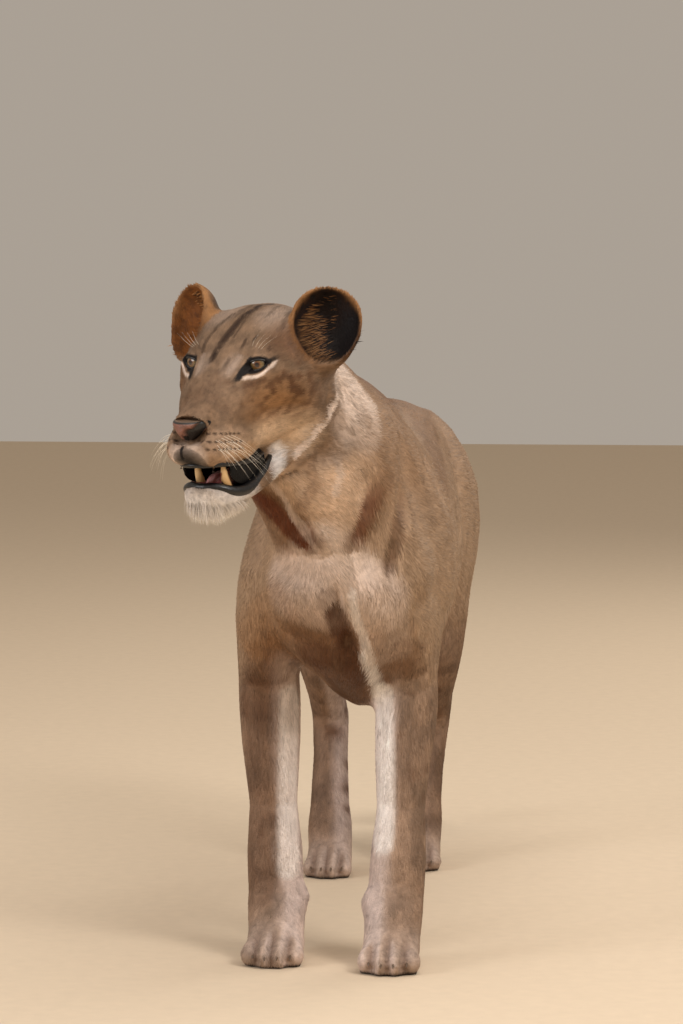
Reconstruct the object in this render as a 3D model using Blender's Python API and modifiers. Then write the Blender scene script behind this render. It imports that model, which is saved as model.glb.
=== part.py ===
"""A standing lioness, life size, as a still museum model, with its head turned to its right.

Metres, +Z up. It faces -Y and +X is its own left. The origin is on the floor, under the middle of the
model's box. The flesh is modelled whole, in clay that is kneaded from lofts and then pressed into shape,
and it is parted into its nodes with thin cuts.
"""

import math

import bmesh
import bpy
import numpy as np
from mathutils import Matrix, Vector

# Driving dimensions, from the floor up and from the nose to the tail.
WITHERS_HEIGHT = 0.925
RUMP_HEIGHT = 0.880
BELLY_HALF_WIDTH = 0.156
FORE_STANCE = 0.106  # how far each forefoot stands from the middle
HEAD_PLACE = Vector((-0.132, -0.366, 0.990))  # the point between the eyeballs
HEAD_YAW, HEAD_PITCH, HEAD_ROLL = (math.radians(a) for a in (-22, 6, 0.5))
HEAD_SIZE = 1.05  # the head's forms below are given for a head of size 1
JAW_HINGE = Vector((0, 0.075, -0.040))  # in the head's own frame
JAW_OPEN = math.radians(20)
EYE_RADIUS = 0.0185
EYE_PLACE = Vector((0.0495, 0.0045, 0.006))
EYE_TURN = 17  # degrees that each eye looks outwards
EAR_PLACE = Vector((0.114, 0.096, 0.046))
EAR_RADII = (0.054, 0.046, 0.064)
EAR_WALL = 0.0085
EAR_LEAN = {1: 4, -1: 24}  # degrees outwards: the right ear is held lower
EAR_TAPER = 0.18  # how much wider the ear is above than below
CUT = 0.0003  # the width of the cuts between the pieces
FLOOR = 0.005  # the soles are cut flat at this height of the clay, which then stands on the floor
WRIST, ANKLE = 0.088, 0.078  # where the paws are cut off
BODY_GRAIN, HEAD_GRAIN, CLAY_GRAIN = 0.0075, 0.0030, 0.0038  # the voxels of the clay
AROUND = 32  # points round a lofted section
CANINE_RADIUS = 0.0062
LOWER_CANINE = ((0.0235, -0.099, -0.138), (0.0260, -0.107, -0.092))  # root and tip, in the jaw's frame
UPPER_CANINE = ((0.0270, -0.106, -0.118), (0.0275, -0.108, -0.145))  # in the head's frame
FACES = {"head": 2900, "paws": 900, "body": 2100}  # triangles left to each region of the clay
ALL_FACES = 4800  # and to all of it, before it is parted

FINISHES = {  # colour and roughness
    "coat": ((0.36, 0.25, 0.15), 0.85),
    "nose": ((0.30, 0.16, 0.13), 0.45),
    "eye": ((0.40, 0.29, 0.12), 0.10),
    "ear": ((0.20, 0.12, 0.07), 0.90),
    "jaw": ((0.62, 0.54, 0.45), 0.85),
    "tongue": ((0.70, 0.33, 0.30), 0.40),
    "tail_brush": ((0.05, 0.04, 0.03), 0.90),
}
SIDES = {"left": 1, "right": -1}
UP, LEFT, FORWARD = Vector((0, 0, 1)), Vector((1, 0, 0)), Vector((0, -1, 0))


# Tools ------------------------------------------------------------------------------------------


def clear_scene():
    for old in list(bpy.data.objects):
        bpy.data.objects.remove(old)


def new_collection(name):
    made = bpy.data.collections.new(name)
    bpy.context.scene.collection.children.link(made)
    return made


def mirrored(point, side):
    return Vector((point[0] * side, point[1], point[2]))


def between(rows, steps):
    """The rows with smooth ones between them, steps to each stretch (Catmull-Rom)."""
    rows = [Vector(row) for row in rows]
    ends = [2 * rows[0] - rows[1], *rows, 2 * rows[-1] - rows[-2]]
    made = []
    for a, b, c, d in zip(ends, ends[1:], ends[2:], ends[3:]):
        for step in range(steps):
            t = step / steps
            made.append(
                0.5 * (2 * b + (c - a) * t + (2 * a - 5 * b + 4 * c - d) * t * t
                       + (3 * b - a - 3 * c + d) * t * t * t)
            )
    return made + [rows[-1]]


def loft(rows, over, frame=Matrix.Identity(4), steps=6, around=AROUND):
    """A closed tube with unlike sections, each an oval that may be boxy or pinched above and below.

    A row is x, y, z of the middle, the half width, the depth on the side of `over` and opposite, and the
    power of each side's oval: 2 is round, more is boxy, less is pinched.
    """
    rows = between(rows, steps)
    middles = [Vector(row[:3]) for row in rows]
    bm = bmesh.new()
    rings = []
    for i, row in enumerate(rows):
        along = (middles[min(i + 1, len(rows) - 1)] - middles[max(i - 1, 0)]).normalized()
        across = (LEFT - along * LEFT.dot(along)).normalized()
        rise = along.cross(across)
        if rise.dot(over) < 0:
            rise.negate()
        ring = []
        for k in range(around):
            angle = 2 * math.pi * k / around
            depth, power = (row[4], row[6]) if math.sin(angle) >= 0 else (row[5], row[7])
            c = math.copysign(abs(math.cos(angle)) ** (2 / power), math.cos(angle))
            s = math.copysign(abs(math.sin(angle)) ** (2 / power), math.sin(angle))
            ring.append(bm.verts.new(middles[i] + across * row[3] * c + rise * depth * s))
        rings.append(ring)
    for low, high in zip(rings, rings[1:]):
        for k in range(around):
            n = (k + 1) % around
            bm.faces.new((low[k], low[n], high[n], high[k]))
    bm.faces.new(rings[0])
    bm.faces.new(rings[-1])
    bmesh.ops.recalc_face_normals(bm, faces=bm.faces)
    bmesh.ops.triangulate(bm, faces=bm.faces[:], quad_method="FIXED")
    bm.transform(frame)
    return bm


def turned(degrees):
    """A turn about X, then Y, then Z."""
    x, y, z = (math.radians(a) for a in degrees)
    return Matrix.Rotation(z, 4, "Z") @ Matrix.Rotation(y, 4, "Y") @ Matrix.Rotation(x, 4, "X")


def ball(place, radii, turn=(0, 0, 0), frame=Matrix.Identity(4), segments=24):
    """An ellipsoid; turn is in degrees about X, Y and Z."""
    bm = bmesh.new()
    matrix = frame @ Matrix.Translation(place) @ turned(turn) @ Matrix.Diagonal((*radii, 1))
    bmesh.ops.create_uvsphere(bm, u_segments=segments, v_segments=segments // 2, radius=1, matrix=matrix)
    return bm


def mesh_of(name, shapes):
    """One mesh that holds all the shapes."""
    whole = bmesh.new()
    for shape in shapes:
        part = bpy.data.meshes.new(name)
        shape.to_mesh(part)
        shape.free()
        whole.from_mesh(part)
        bpy.data.meshes.remove(part)
    mesh = bpy.data.meshes.new(name)
    whole.to_mesh(mesh)
    whole.free()
    return mesh


def set_down(name, mesh, collection):
    made = bpy.data.objects.new(name, mesh)
    collection.objects.link(made)
    return made


def finished(obj):
    """The object with its modifiers made part of its own mesh."""
    bpy.context.view_layer.update()
    graph = bpy.context.evaluated_depsgraph_get()
    mesh = bpy.data.meshes.new_from_object(obj.evaluated_get(graph))
    obj.modifiers.clear()
    obj.data = mesh
    return obj


def clay(name, shapes, grain, smoothing, collection):
    """The shapes kneaded into one closed skin, and smoothed so that they flow into each other."""
    lump = set_down(name, mesh_of(name, shapes), collection)
    knead = lump.modifiers.new("knead", "REMESH")
    knead.mode = "VOXEL"
    knead.voxel_size = grain
    smooth = lump.modifiers.new("smooth", "SMOOTH")
    smooth.factor = 0.5
    smooth.iterations = smoothing
    return finished(lump)


def boolean(obj, shape, operation, collection):
    """Cuts the shape out of the object, or joins it on."""
    tool = set_down("cutter", mesh_of("cutter", [shape]), collection)
    cut = obj.modifiers.new(operation, "BOOLEAN")
    cut.operation = operation
    cut.object = tool
    cut.solver = "EXACT"
    finished(obj)
    bpy.data.objects.remove(tool)
    return obj


def press(obj, strokes, frame=Matrix.Identity(4), sides=(1, -1)):
    """Soft strokes of the thumb: each is a place, how far it reaches, and how far it moves the clay."""
    mesh = obj.data
    points = np.empty(len(mesh.vertices) * 3)
    mesh.vertices.foreach_get("co", points)
    turn = np.array(frame.to_3x3())
    home = np.array(frame.translation)
    points = (points.reshape(-1, 3) - home) @ turn / abs(np.linalg.det(turn)) ** (2 / 3)
    for place, reach, move in strokes:
        for side in sides if place[0] else (1,):
            flip = np.array((side, 1, 1))
            away = ((points - np.array(place) * flip) / np.array(reach)) ** 2
            weight = np.clip(1 - away.sum(axis=1), 0, 1) ** 2
            points += weight[:, None] * np.array(move) * flip
    points = points @ turn.T + home
    mesh.vertices.foreach_set("co", points.ravel())
    mesh.update()
    return obj


def bmesh_from(obj):
    bm = bmesh.new()
    bm.from_mesh(obj.data)
    bpy.data.objects.remove(obj)
    return bm


def head_frame():
    turn = Matrix.Rotation(HEAD_YAW, 4, "Z")
    turn @= Matrix.Rotation(HEAD_PITCH, 4, "X")
    turn @= Matrix.Rotation(HEAD_ROLL, 4, "Y")
    return Matrix.Translation(HEAD_PLACE) @ turn @ Matrix.Scale(HEAD_SIZE, 4)


def jaw_frame():
    swing = Matrix.Translation(JAW_HINGE) @ Matrix.Rotation(JAW_OPEN, 4, "X")
    return head_frame() @ swing @ Matrix.Translation(-JAW_HINGE)


# The body's clay --------------------------------------------------------------------------------


def trunk_shapes():
    """The rib cage, belly and loins. A row: y, sideways bend, height of the widest, half width, top,
    bottom, and the powers above and below."""
    belly = BELLY_HALF_WIDTH
    back = WITHERS_HEIGHT
    rump = RUMP_HEIGHT
    stations = (
        (-0.200, 0.000, 0.650, 0.050, 0.700, 0.590, 2.0, 2.0),
        (-0.165, 0.003, 0.640, 0.100, 0.790, 0.530, 2.0, 1.9),
        (-0.095, 0.012, 0.640, 0.132, 0.870, 0.465, 1.9, 1.7),
        (0.000, 0.028, 0.650, 0.146, back - 0.012, 0.425, 1.75, 1.55),
        (0.110, 0.038, 0.650, 0.151, back, 0.406, 1.7, 1.55),
        (0.250, 0.036, 0.640, 0.153, back - 0.034, 0.402, 1.85, 1.65),
        (0.400, 0.031, 0.640, belly - 0.001, back - 0.058, 0.415, 2.0, 1.9),
        (0.550, 0.024, 0.645, belly, rump - 0.016, 0.438, 2.1, 2.1),
        (0.700, 0.016, 0.670, 0.151, rump - 0.008, 0.478, 2.1, 2.1),
        (0.820, 0.012, 0.700, 0.139, rump, 0.530, 2.0, 2.1),
        (0.940, 0.009, 0.730, 0.132, rump, 0.590, 2.0, 2.1),
        (1.050, 0.008, 0.745, 0.112, rump - 0.018, 0.640, 2.0, 2.0),
        (1.130, 0.008, 0.750, 0.074, rump - 0.046, 0.680, 2.0, 2.0),
        (1.180, 0.008, 0.755, 0.032, rump - 0.080, 0.720, 2.0, 2.0),
    )
    rows = [
        (x, y, wide, half, top - wide, wide - low, above, below)
        for y, x, wide, half, top, low, above, below in stations
    ]
    return [loft(rows, UP)]


def neck_shapes():
    """The neck, bending to the right and rising. A row as in loft()."""
    rows = (
        (0.040, 0.150, 0.720, 0.110, 0.195, 0.200, 1.8, 2.0),
        (0.030, 0.020, 0.760, 0.122, 0.202, 0.205, 1.7, 2.0),
        (-0.004, -0.090, 0.820, 0.120, 0.186, 0.195, 1.8, 2.0),
        (-0.044, -0.170, 0.892, 0.112, 0.152, 0.160, 2.0, 2.1),
        (-0.074, -0.225, 0.945, 0.106, 0.128, 0.135, 2.0, 2.1),
        (-0.096, -0.275, 0.975, 0.092, 0.100, 0.120, 2.0, 2.1),
    )
    return [loft(rows, UP)]


def foreleg_shapes(side, foot_y):
    """From the shoulder to the paw. foot_y is how far back the foot stands; each row follows it a share.

    A row: x, y, z, half width, depth before and behind, share."""
    stance = FORE_STANCE
    stations = (
        (0.080, 0.020, 0.800, 0.022, 0.040, 0.040, 0.0),
        (0.096, 0.000, 0.700, 0.048, 0.080, 0.080, 0.0),
        (0.108, -0.005, 0.610, 0.057, 0.102, 0.102, 0.0),
        (0.114, 0.035, 0.530, 0.056, 0.096, 0.100, 0.0),
        (0.114, 0.055, 0.460, 0.053, 0.070, 0.084, 0.2),
        (0.112, 0.048, 0.390, 0.052, 0.060, 0.060, 0.4),
        (0.108, 0.038, 0.320, 0.047, 0.049, 0.046, 0.6),
        (stance, 0.032, 0.255, 0.0425, 0.041, 0.041, 0.75),
        (stance - 0.003, 0.024, 0.180, 0.0465, 0.044, 0.042, 0.9),
        (stance - 0.006, 0.012, 0.115, 0.0440, 0.037, 0.038, 1.0),
        (stance - 0.009, -0.012, 0.062, 0.0480, 0.044, 0.044, 1.0),
        (stance - 0.010, -0.028, 0.032, 0.0440, 0.040, 0.040, 1.0),
    )
    rows = [
        (side * x, y + share * foot_y, z, half, fore, aft, 2.2, 2.1)
        for x, y, z, half, fore, aft, share in stations
    ]
    return [loft(rows, FORWARD)] + paw_shapes(Vector((side * (stance - 0.010), foot_y - 0.030, 0)), side, 1.0)


def hind_leg_shapes(side, foot_x, foot_y):
    """From the hip to the paw. foot_x and foot_y move the foot, and the leg with it by a share.

    A row: x, y, z, half width, depth before and behind, share."""
    stations = (
        (0.055, 0.990, 0.850, 0.020, 0.050, 0.040, 0.0),
        (0.070, 0.985, 0.790, 0.058, 0.100, 0.085, 0.0),
        (0.090, 0.960, 0.710, 0.070, 0.140, 0.118, 0.0),
        (0.104, 0.905, 0.610, 0.066, 0.130, 0.128, 0.1),
        (0.112, 0.855, 0.500, 0.056, 0.090, 0.108, 0.3),
        (0.110, 0.895, 0.415, 0.046, 0.066, 0.070, 0.45),
        (0.104, 0.965, 0.335, 0.036, 0.043, 0.036, 0.6),
        (0.098, 1.015, 0.278, 0.036, 0.037, 0.043, 0.7),
        (0.094, 1.005, 0.210, 0.0345, 0.031, 0.032, 0.85),
        (0.090, 0.980, 0.130, 0.0350, 0.031, 0.031, 1.0),
        (0.087, 0.955, 0.065, 0.0420, 0.040, 0.038, 1.0),
        (0.086, 0.935, 0.032, 0.0400, 0.038, 0.036, 1.0),
    )
    rows = [
        (side * x + share * foot_x + 0.012, y + share * foot_y, z, half, fore, aft, 2.1, 2.1)
        for x, y, z, half, fore, aft, share in stations
    ]
    foot = Vector((side * 0.086 + foot_x + 0.012, 0.930 + foot_y, 0))
    return [loft(rows, FORWARD)] + paw_shapes(foot, side, 0.9)


def paw_shapes(foot, side, size):
    """A broad cat's paw: the pad, four toes, and the dew toe of a forefoot (size 1)."""
    made = [ball(foot + Vector((0, -0.005, 0.034)) * size, (0.052 * size, 0.066 * size, 0.036 * size))]
    toes = ((-0.038, -0.046, -14), (-0.0135, -0.066, -4), (0.0135, -0.066, 4), (0.038, -0.046, 14))
    for x, y, turn in toes:
        place = foot + Vector((x, y, 0.024)) * size
        made.append(ball(place, (0.0165 * size, 0.034 * size, 0.0265 * size), (0, 0, turn)))
    if size == 1:
        made.append(ball(foot + Vector((-side * 0.038, 0.030, 0.105)), (0.014, 0.016, 0.024)))
    return made


def tail_shapes():
    """The tail falls behind the legs and turns out at the tip, which ends in a brush."""
    path = (
        (0.010, 1.090, 0.800, 0.042),
        (0.012, 1.165, 0.762, 0.034),
        (0.016, 1.220, 0.660, 0.027),
        (0.022, 1.235, 0.520, 0.024),
        (0.028, 1.232, 0.380, 0.0215),
        (0.032, 1.245, 0.260, 0.0195),
        (0.036, 1.290, 0.165, 0.018),
        (0.040, 1.355, 0.135, 0.016),
    )
    brush = (
        (0.0350, 1.275, 0.185, 0.019),
        (0.0375, 1.315, 0.150, 0.029),
        (0.0400, 1.360, 0.133, 0.032),
        (0.0420, 1.405, 0.130, 0.025),
        (0.0440, 1.445, 0.138, 0.010),
    )
    return [loft([(x, y, z, r, r, r, 2, 2) for x, y, z, r in rows], FORWARD) for rows in (path, brush)]


def front_strokes():
    """Muscle and bone under the skin of the fore part: place, reach, move. Pairs are given on the left."""
    return (
        ((0.140, 0.060, 0.740), (0.090, 0.095, 0.190), (0.012, 0, 0)),  # shoulder blade
        ((0.150, 0.225, 0.700), (0.100, 0.070, 0.190), (-0.012, 0, 0)),  # hollow behind it
        ((0.110, -0.065, 0.790), (0.080, 0.060, 0.130), (-0.012, 0.006, 0)),  # hollow before it
        ((0.078, -0.110, 0.585), (0.078, 0.120, 0.150), (0.004, -0.013, 0)),  # point of the shoulder
        ((0.135, 0.085, 0.580), (0.070, 0.095, 0.120), (0.012, 0, 0)),  # upper arm
        ((0.000, -0.165, 0.545), (0.036, 0.090, 0.130), (0, 0.020, 0)),  # furrow between the breasts
        ((0.000, 0.090, 0.930), (0.045, 0.110, 0.050), (0, 0, 0.005)),  # withers
    )


def hind_strokes():
    return (
        ((0.145, 0.730, 0.680), (0.090, 0.100, 0.140), (-0.016, 0, 0)),  # hollow of the flank
        ((0.090, 0.790, 0.850), (0.060, 0.080, 0.060), (0.004, 0, 0.007)),  # hip bone
        ((0.145, 0.930, 0.660), (0.080, 0.140, 0.160), (0.012, 0, 0)),  # thigh
        ((0.060, 1.100, 0.640), (0.060, 0.080, 0.120), (0, 0.012, 0)),  # back of the thigh
    )


# The head's clay, in the head's own frame: nose towards -Y, origin between the eyeballs -----------


def skull_shapes(frame):
    """Muzzle and brain case in one loft, and the bridge of the nose on it.

    A row: y, top, height of the widest, half width, bottom, and the powers above and below."""
    stations = (
        (-0.133, -0.066, -0.084, 0.0200, -0.104, 2.0, 2.0),
        (-0.127, -0.058, -0.094, 0.0320, -0.126, 2.0, 2.2),
        (-0.111, -0.050, -0.100, 0.0415, -0.134, 2.1, 2.4),
        (-0.090, -0.041, -0.102, 0.0475, -0.140, 2.2, 2.6),
        (-0.066, -0.029, -0.099, 0.0530, -0.142, 2.3, 2.7),
        (-0.044, -0.014, -0.090, 0.0590, -0.142, 2.2, 2.6),
        (-0.016, 0.008, -0.070, 0.0690, -0.142, 2.3, 2.4),
        (0.018, 0.034, -0.052, 0.0830, -0.140, 2.4, 2.3),
        (0.050, 0.056, -0.038, 0.0980, -0.138, 2.3, 2.2),
        (0.085, 0.073, -0.026, 0.1100, -0.132, 2.2, 2.1),
        (0.120, 0.081, -0.016, 0.1100, -0.116, 2.1, 2.0),
        (0.155, 0.077, -0.010, 0.0990, -0.096, 2.0, 2.0),
        (0.185, 0.062, -0.010, 0.0770, -0.076, 2.0, 2.0),
        (0.205, 0.045, -0.010, 0.0450, -0.050, 2.0, 2.0),
    )
    rows = [
        (0, y, wide, half, top - wide, wide - low, above, below)
        for y, top, wide, half, low, above, below in stations
    ]
    bridge = (
        (0, -0.135, -0.074, 0.0240, 0.014, 0.020, 2.4, 2),
        (0, -0.122, -0.066, 0.0285, 0.017, 0.025, 2.6, 2),
        (0, -0.095, -0.058, 0.0280, 0.021, 0.030, 2.6, 2),
        (0, -0.060, -0.041, 0.0255, 0.022, 0.030, 2.6, 2),
        (0, -0.025, -0.015, 0.0260, 0.021, 0.030, 2.6, 2),
        (0, 0.010, 0.012, 0.032, 0.021, 0.030, 2.6, 2),
        (0, 0.050, 0.036, 0.040, 0.021, 0.030, 2.2, 2),
    )
    tip = ball((0, -0.123, -0.085), (0.030, 0.0155, 0.026), (0, 0, 0), frame)
    return [loft(rows, UP, frame), loft(bridge, UP, frame), tip]


def jaw_shapes(frame):
    """The lower jaw, modelled shut. A row: y, top, height of the widest, half width, bottom."""
    stations = (
        (-0.129, -0.116, -0.134, 0.0160, -0.146),
        (-0.122, -0.106, -0.134, 0.0330, -0.155),
        (-0.105, -0.109, -0.138, 0.0430, -0.161),
        (-0.080, -0.120, -0.144, 0.0510, -0.164),
        (-0.050, -0.127, -0.146, 0.0590, -0.164),
        (-0.010, -0.123, -0.141, 0.0660, -0.160),
        (0.030, -0.105, -0.130, 0.0740, -0.153),
        (0.080, -0.070, -0.110, 0.0800, -0.143),
        (0.120, -0.070, -0.095, 0.0600, -0.125),
    )
    rows = [(0, y, wide, half, top - wide, wide - low, 2.3, 2.2) for y, top, wide, half, low in stations]
    return [loft(rows, UP, frame)]


def half_egg(radii):
    """The back of an egg, open towards -Y."""
    bm = bmesh.new()
    bmesh.ops.create_uvsphere(bm, u_segments=32, v_segments=16, radius=1)
    everything = bm.verts[:] + bm.edges[:] + bm.faces[:]
    facing = Vector((0, -1, 0.25))
    bmesh.ops.bisect_plane(bm, geom=everything, plane_co=(0, -0.25, 0), plane_no=facing, clear_outer=True)
    for vert in bm.verts:
        vert.co.x *= 1 + EAR_TAPER * vert.co.z
    bm.transform(Matrix.Diagonal((*radii, 1)))
    bmesh.ops.recalc_face_normals(bm, faces=bm.faces)
    return bm


def ear_frame(side):
    turn = turned((-10, side * EAR_LEAN[side], side * 28))
    return head_frame() @ Matrix.Translation(mirrored(EAR_PLACE, side)) @ turn


def ear_shapes(side):
    """A rounded cup that opens forwards and outwards, on a thick root."""
    cup = half_egg(EAR_RADII)
    bmesh.ops.solidify(cup, geom=cup.faces[:], thickness=EAR_WALL)
    bmesh.ops.recalc_face_normals(cup, faces=cup.faces)
    cup.transform(ear_frame(side))
    root = ball(mirrored((0.088, 0.128, 0.004), side), (0.036, 0.036, 0.056), (0, side * 30, 0), head_frame())
    return [cup, root]


def ear_hollow(side):
    """What the cup holds, to be taken out of the head behind it."""
    hollow = half_egg([radius - EAR_WALL for radius in EAR_RADII])
    bmesh.ops.holes_fill(hollow, edges=hollow.edges[:])
    bmesh.ops.recalc_face_normals(hollow, faces=hollow.faces)
    hollow.transform(ear_frame(side))
    return hollow


def lid_shapes(side, frame):
    """A flattened ring round each eye, for the lids."""
    bm = bmesh.new()
    rim = bmesh.ops.create_circle(bm, segments=10, radius=0.0050, matrix=Matrix.Translation((0.0180, 0, 0)))
    bmesh.ops.rotate(bm, verts=rim["verts"], matrix=Matrix.Rotation(math.pi / 2, 3, "X"))
    bmesh.ops.spin(
        bm, geom=bm.verts[:] + bm.edges[:], axis=(0, 0, 1), cent=(0, 0, 0), angle=2 * math.pi, steps=28,
        use_merge=True, use_duplicate=False,
    )
    bmesh.ops.recalc_face_normals(bm, faces=bm.faces)
    stand = Matrix.Translation(mirrored(EYE_PLACE, side)) @ turned((90, 0, side * EYE_TURN))
    bm.transform(frame @ stand @ Matrix.Translation((0, 0, 0.0125)) @ Matrix.Diagonal((1, 0.74, 1, 1)))
    return bm


def face_strokes():
    """The forms of the face: place, reach, move. Pairs are given on the left."""
    return (
        ((0.032, -0.108, -0.092), (0.034, 0.046, 0.034), (0.004, -0.005, -0.002)),  # whisker pad
        ((0.066, 0.006, -0.002), (0.036, 0.040, 0.038), (0.005, -0.006, 0.001)),  # eye
        ((0.050, 0.006, 0.034), (0.034, 0.030, 0.020), (0, -0.006, 0.004)),  # brow
        ((0.031, -0.034, -0.022), (0.014, 0.034, 0.022), (-0.002, 0.005, -0.003)),  # beside the bridge
        ((0.090, 0.035, -0.030), (0.040, 0.060, 0.036), (0.007, -0.004, 0)),  # cheek bone
        ((0.072, -0.022, -0.085), (0.030, 0.036, 0.036), (-0.006, 0.004, 0)),  # below the cheek bone
        ((0.098, 0.070, -0.080), (0.045, 0.060, 0.055), (0.007, 0, 0)),  # cheek muscle
        ((0.086, 0.032, 0.040), (0.032, 0.038, 0.028), (-0.006, 0, -0.004)),  # temple
        ((0.000, 0.030, 0.046), (0.018, 0.055, 0.030), (0, 0, -0.003)),  # furrow of the forehead
    )


def mouth_shapes():
    """The hollow of the palate, and that of the floor of the mouth in the lower jaw."""
    palate = ball((0, -0.056, -0.136), (0.0380, 0.060, 0.028), (0, 0, 0), head_frame())
    under = ball((0, -0.052, -0.122), (0.0420, 0.062, 0.024), (-6, 0, 0), jaw_frame())
    return [palate, under]


def eye_shape(side, radius, segments=14):
    """An eyeball, its pole towards what it looks at."""
    look = head_frame() @ Matrix.Translation(mirrored(EYE_PLACE, side)) @ turned((90, 0, side * EYE_TURN))
    return ball((0, 0, 0), (radius,) * 3, frame=look, segments=segments)


def lid_opening(side):
    """The almond between the lids, cut through the clay in front of the eyeball."""
    look = head_frame() @ Matrix.Translation(mirrored(EYE_PLACE, side)) @ turned((90, 0, side * EYE_TURN))
    return ball((0, 0, 0.021), (0.0165, 0.0105, 0.016), (0, 0, side * 8), look)


def head_shapes():
    frame = head_frame()
    made = skull_shapes(frame) + jaw_shapes(jaw_frame())
    for side in SIDES.values():
        made += ear_shapes(side) + [lid_shapes(side, frame)]
    return made


def body_shapes():
    made = trunk_shapes() + neck_shapes() + tail_shapes()
    made += foreleg_shapes(1, -0.030) + foreleg_shapes(-1, 0.020)
    made += hind_leg_shapes(1, -0.028, 0.010) + hind_leg_shapes(-1, -0.012, -0.080)
    return made


def whole_animal(bench):
    """Body and head kneaded apart, since the head keeps finer forms, then together."""
    body = clay("body clay", body_shapes(), BODY_GRAIN, 14, bench)
    press(body, front_strokes(), Matrix.Translation((0.033, 0, 0)))
    press(body, hind_strokes(), Matrix.Translation((0.012, 0, 0)))
    head = clay("head clay", head_shapes(), HEAD_GRAIN, 6, bench)
    press(head, face_strokes(), head_frame())
    for shape in [ear_hollow(side) for side in SIDES.values()] + mouth_shapes():
        boolean(head, shape, "DIFFERENCE", bench)
    animal = clay("lioness clay", [bmesh_from(body), bmesh_from(head)], CLAY_GRAIN, 3, bench)
    for side in SIDES.values():
        boolean(animal, lid_opening(side), "DIFFERENCE", bench)
    return animal


def thin_out(animal):
    """Fewer triangles, with more of them kept where the forms are small."""
    turn = np.array(head_frame().to_3x3())
    for region, kept in [*FACES.items(), ("all", ALL_FACES)]:
        mesh = animal.data
        points = np.array([vertex.co for vertex in mesh.vertices])
        along = ((points - np.array(HEAD_PLACE)) @ turn)[:, 1] / HEAD_SIZE ** 2
        head = (along < 0.15) & (points[:, 2] > 0.74)
        paws = points[:, 2] < WRIST
        everywhere = {"head": head, "paws": paws, "body": ~(head | paws), "all": head | ~head}
        chosen = everywhere[region]
        group = animal.vertex_groups.new(name=region)
        group.add([int(i) for i in np.flatnonzero(chosen)], 1.0, "REPLACE")
        sizes = [(len(face.vertices) - 2, all(chosen[i] for i in face.vertices)) for face in mesh.polygons]
        triangles = sum(size for size, inside in sizes)
        inside = sum(size for size, inside in sizes if inside)
        fewer = animal.modifiers.new("fewer", "DECIMATE")
        fewer.ratio = (triangles - inside + kept) / triangles
        fewer.vertex_group = region
        finished(animal)
        animal.vertex_groups.clear()
    return animal


# Parting the clay ---------------------------------------------------------------------------------


def block(low, high, grow=0.0, frame=Matrix.Identity(4)):
    """A box between two corners, grown on every side."""
    bm = bmesh.new()
    size = Vector(high) - Vector(low) + Vector((2, 2, 2)) * grow
    matrix = frame @ Matrix.Translation((Vector(low) + Vector(high)) / 2) @ Matrix.Diagonal((*size, 1))
    bmesh.ops.create_cube(bm, size=1, matrix=matrix)
    return bm


def neck_plane(grow):
    """All that lies before the neck: the head. It leans with the neck."""
    frame = head_frame() @ Matrix.Translation((0, 0.135, -0.05)) @ turned((-28, 0, 0))
    return block((-0.26, -0.45, -0.30), (0.26, 0, 0.30), grow, frame)


def chest_plane(grow):
    """All of what is left that lies before the shoulders: the neck."""
    frame = Matrix.Translation((0.01, -0.055, 0.80)) @ turned((-38, 0, -14))
    return block((-0.25, -0.50, -0.175), (0.25, 0, 0.40), grow, frame)


def mouth_plane(grow):
    """All of the head that lies under a plane through the corners of the mouth: the jaw."""
    frame = head_frame() @ Matrix.Translation((0, -0.035, -0.154)) @ turned((8, 0, 0))
    return block((-0.15, -0.15, -0.20), (0.15, 0.30, 0), grow, frame)


def ear_plane(side, grow):
    frame = head_frame() @ Matrix.Translation(mirrored((0.094, 0.098, 0.036), side)) @ turned((0, side * 52, 0))
    return block((-0.085, -0.085, 0), (0.085, 0.085, 0.15), grow, frame)


def nose_egg(grow):
    """The bare skin of the nose."""
    radii = (0.032 + grow, 0.020 + grow, 0.022 + grow)
    return ball((0, -0.131, -0.074), radii, (-12, 0, 0), head_frame(), segments=12)


def leg_sleeve(rows, side, grow):
    """A dome with straight walls that takes a leg off the trunk. A row: x, y, z, half width, fore, aft."""
    grown = [
        (side * x, y, z + grow, half + grow, fore + grow, aft + grow, 2, 2)
        for x, y, z, half, fore, aft in rows
    ]
    return loft(grown, FORWARD, steps=1, around=12)


def foreleg_sleeve(side, grow):
    rows = (
        (0.150, 0.020, 0.705, 0.008, 0.012, 0.012),
        (0.148, 0.020, 0.695, 0.045, 0.060, 0.060),
        (0.142, 0.020, 0.650, 0.075, 0.105, 0.105),
        (0.136, 0.020, 0.560, 0.094, 0.140, 0.145),
        (0.132, 0.020, 0.460, 0.098, 0.155, 0.160),
        (0.126, 0.000, 0.340, 0.104, 0.180, 0.160),
        (0.122, -0.020, -0.050, 0.108, 0.200, 0.160),
    )
    return leg_sleeve(rows, side, grow)


def hindleg_sleeve(side, grow):
    rows = (
        (0.150, 0.920, 0.800, 0.008, 0.012, 0.012),
        (0.146, 0.920, 0.790, 0.045, 0.060, 0.060),
        (0.138, 0.925, 0.745, 0.080, 0.115, 0.115),
        (0.128, 0.925, 0.640, 0.102, 0.165, 0.180),
        (0.122, 0.920, 0.500, 0.108, 0.190, 0.215),
        (0.118, 0.920, 0.300, 0.112, 0.220, 0.230),
        (0.115, 0.900, -0.050, 0.112, 0.270, 0.230),
    )
    return leg_sleeve(rows, side, grow)


def paw_block(side, wrist, near, far, grow):
    low, high = sorted((side * 0.004, side * 0.30))
    return block((low, near, -0.10), (high, far, wrist), grow)


def tail_block(near, top, grow):
    return block((-0.20, near, -0.10), (0.20, 1.60, top), grow)


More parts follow.
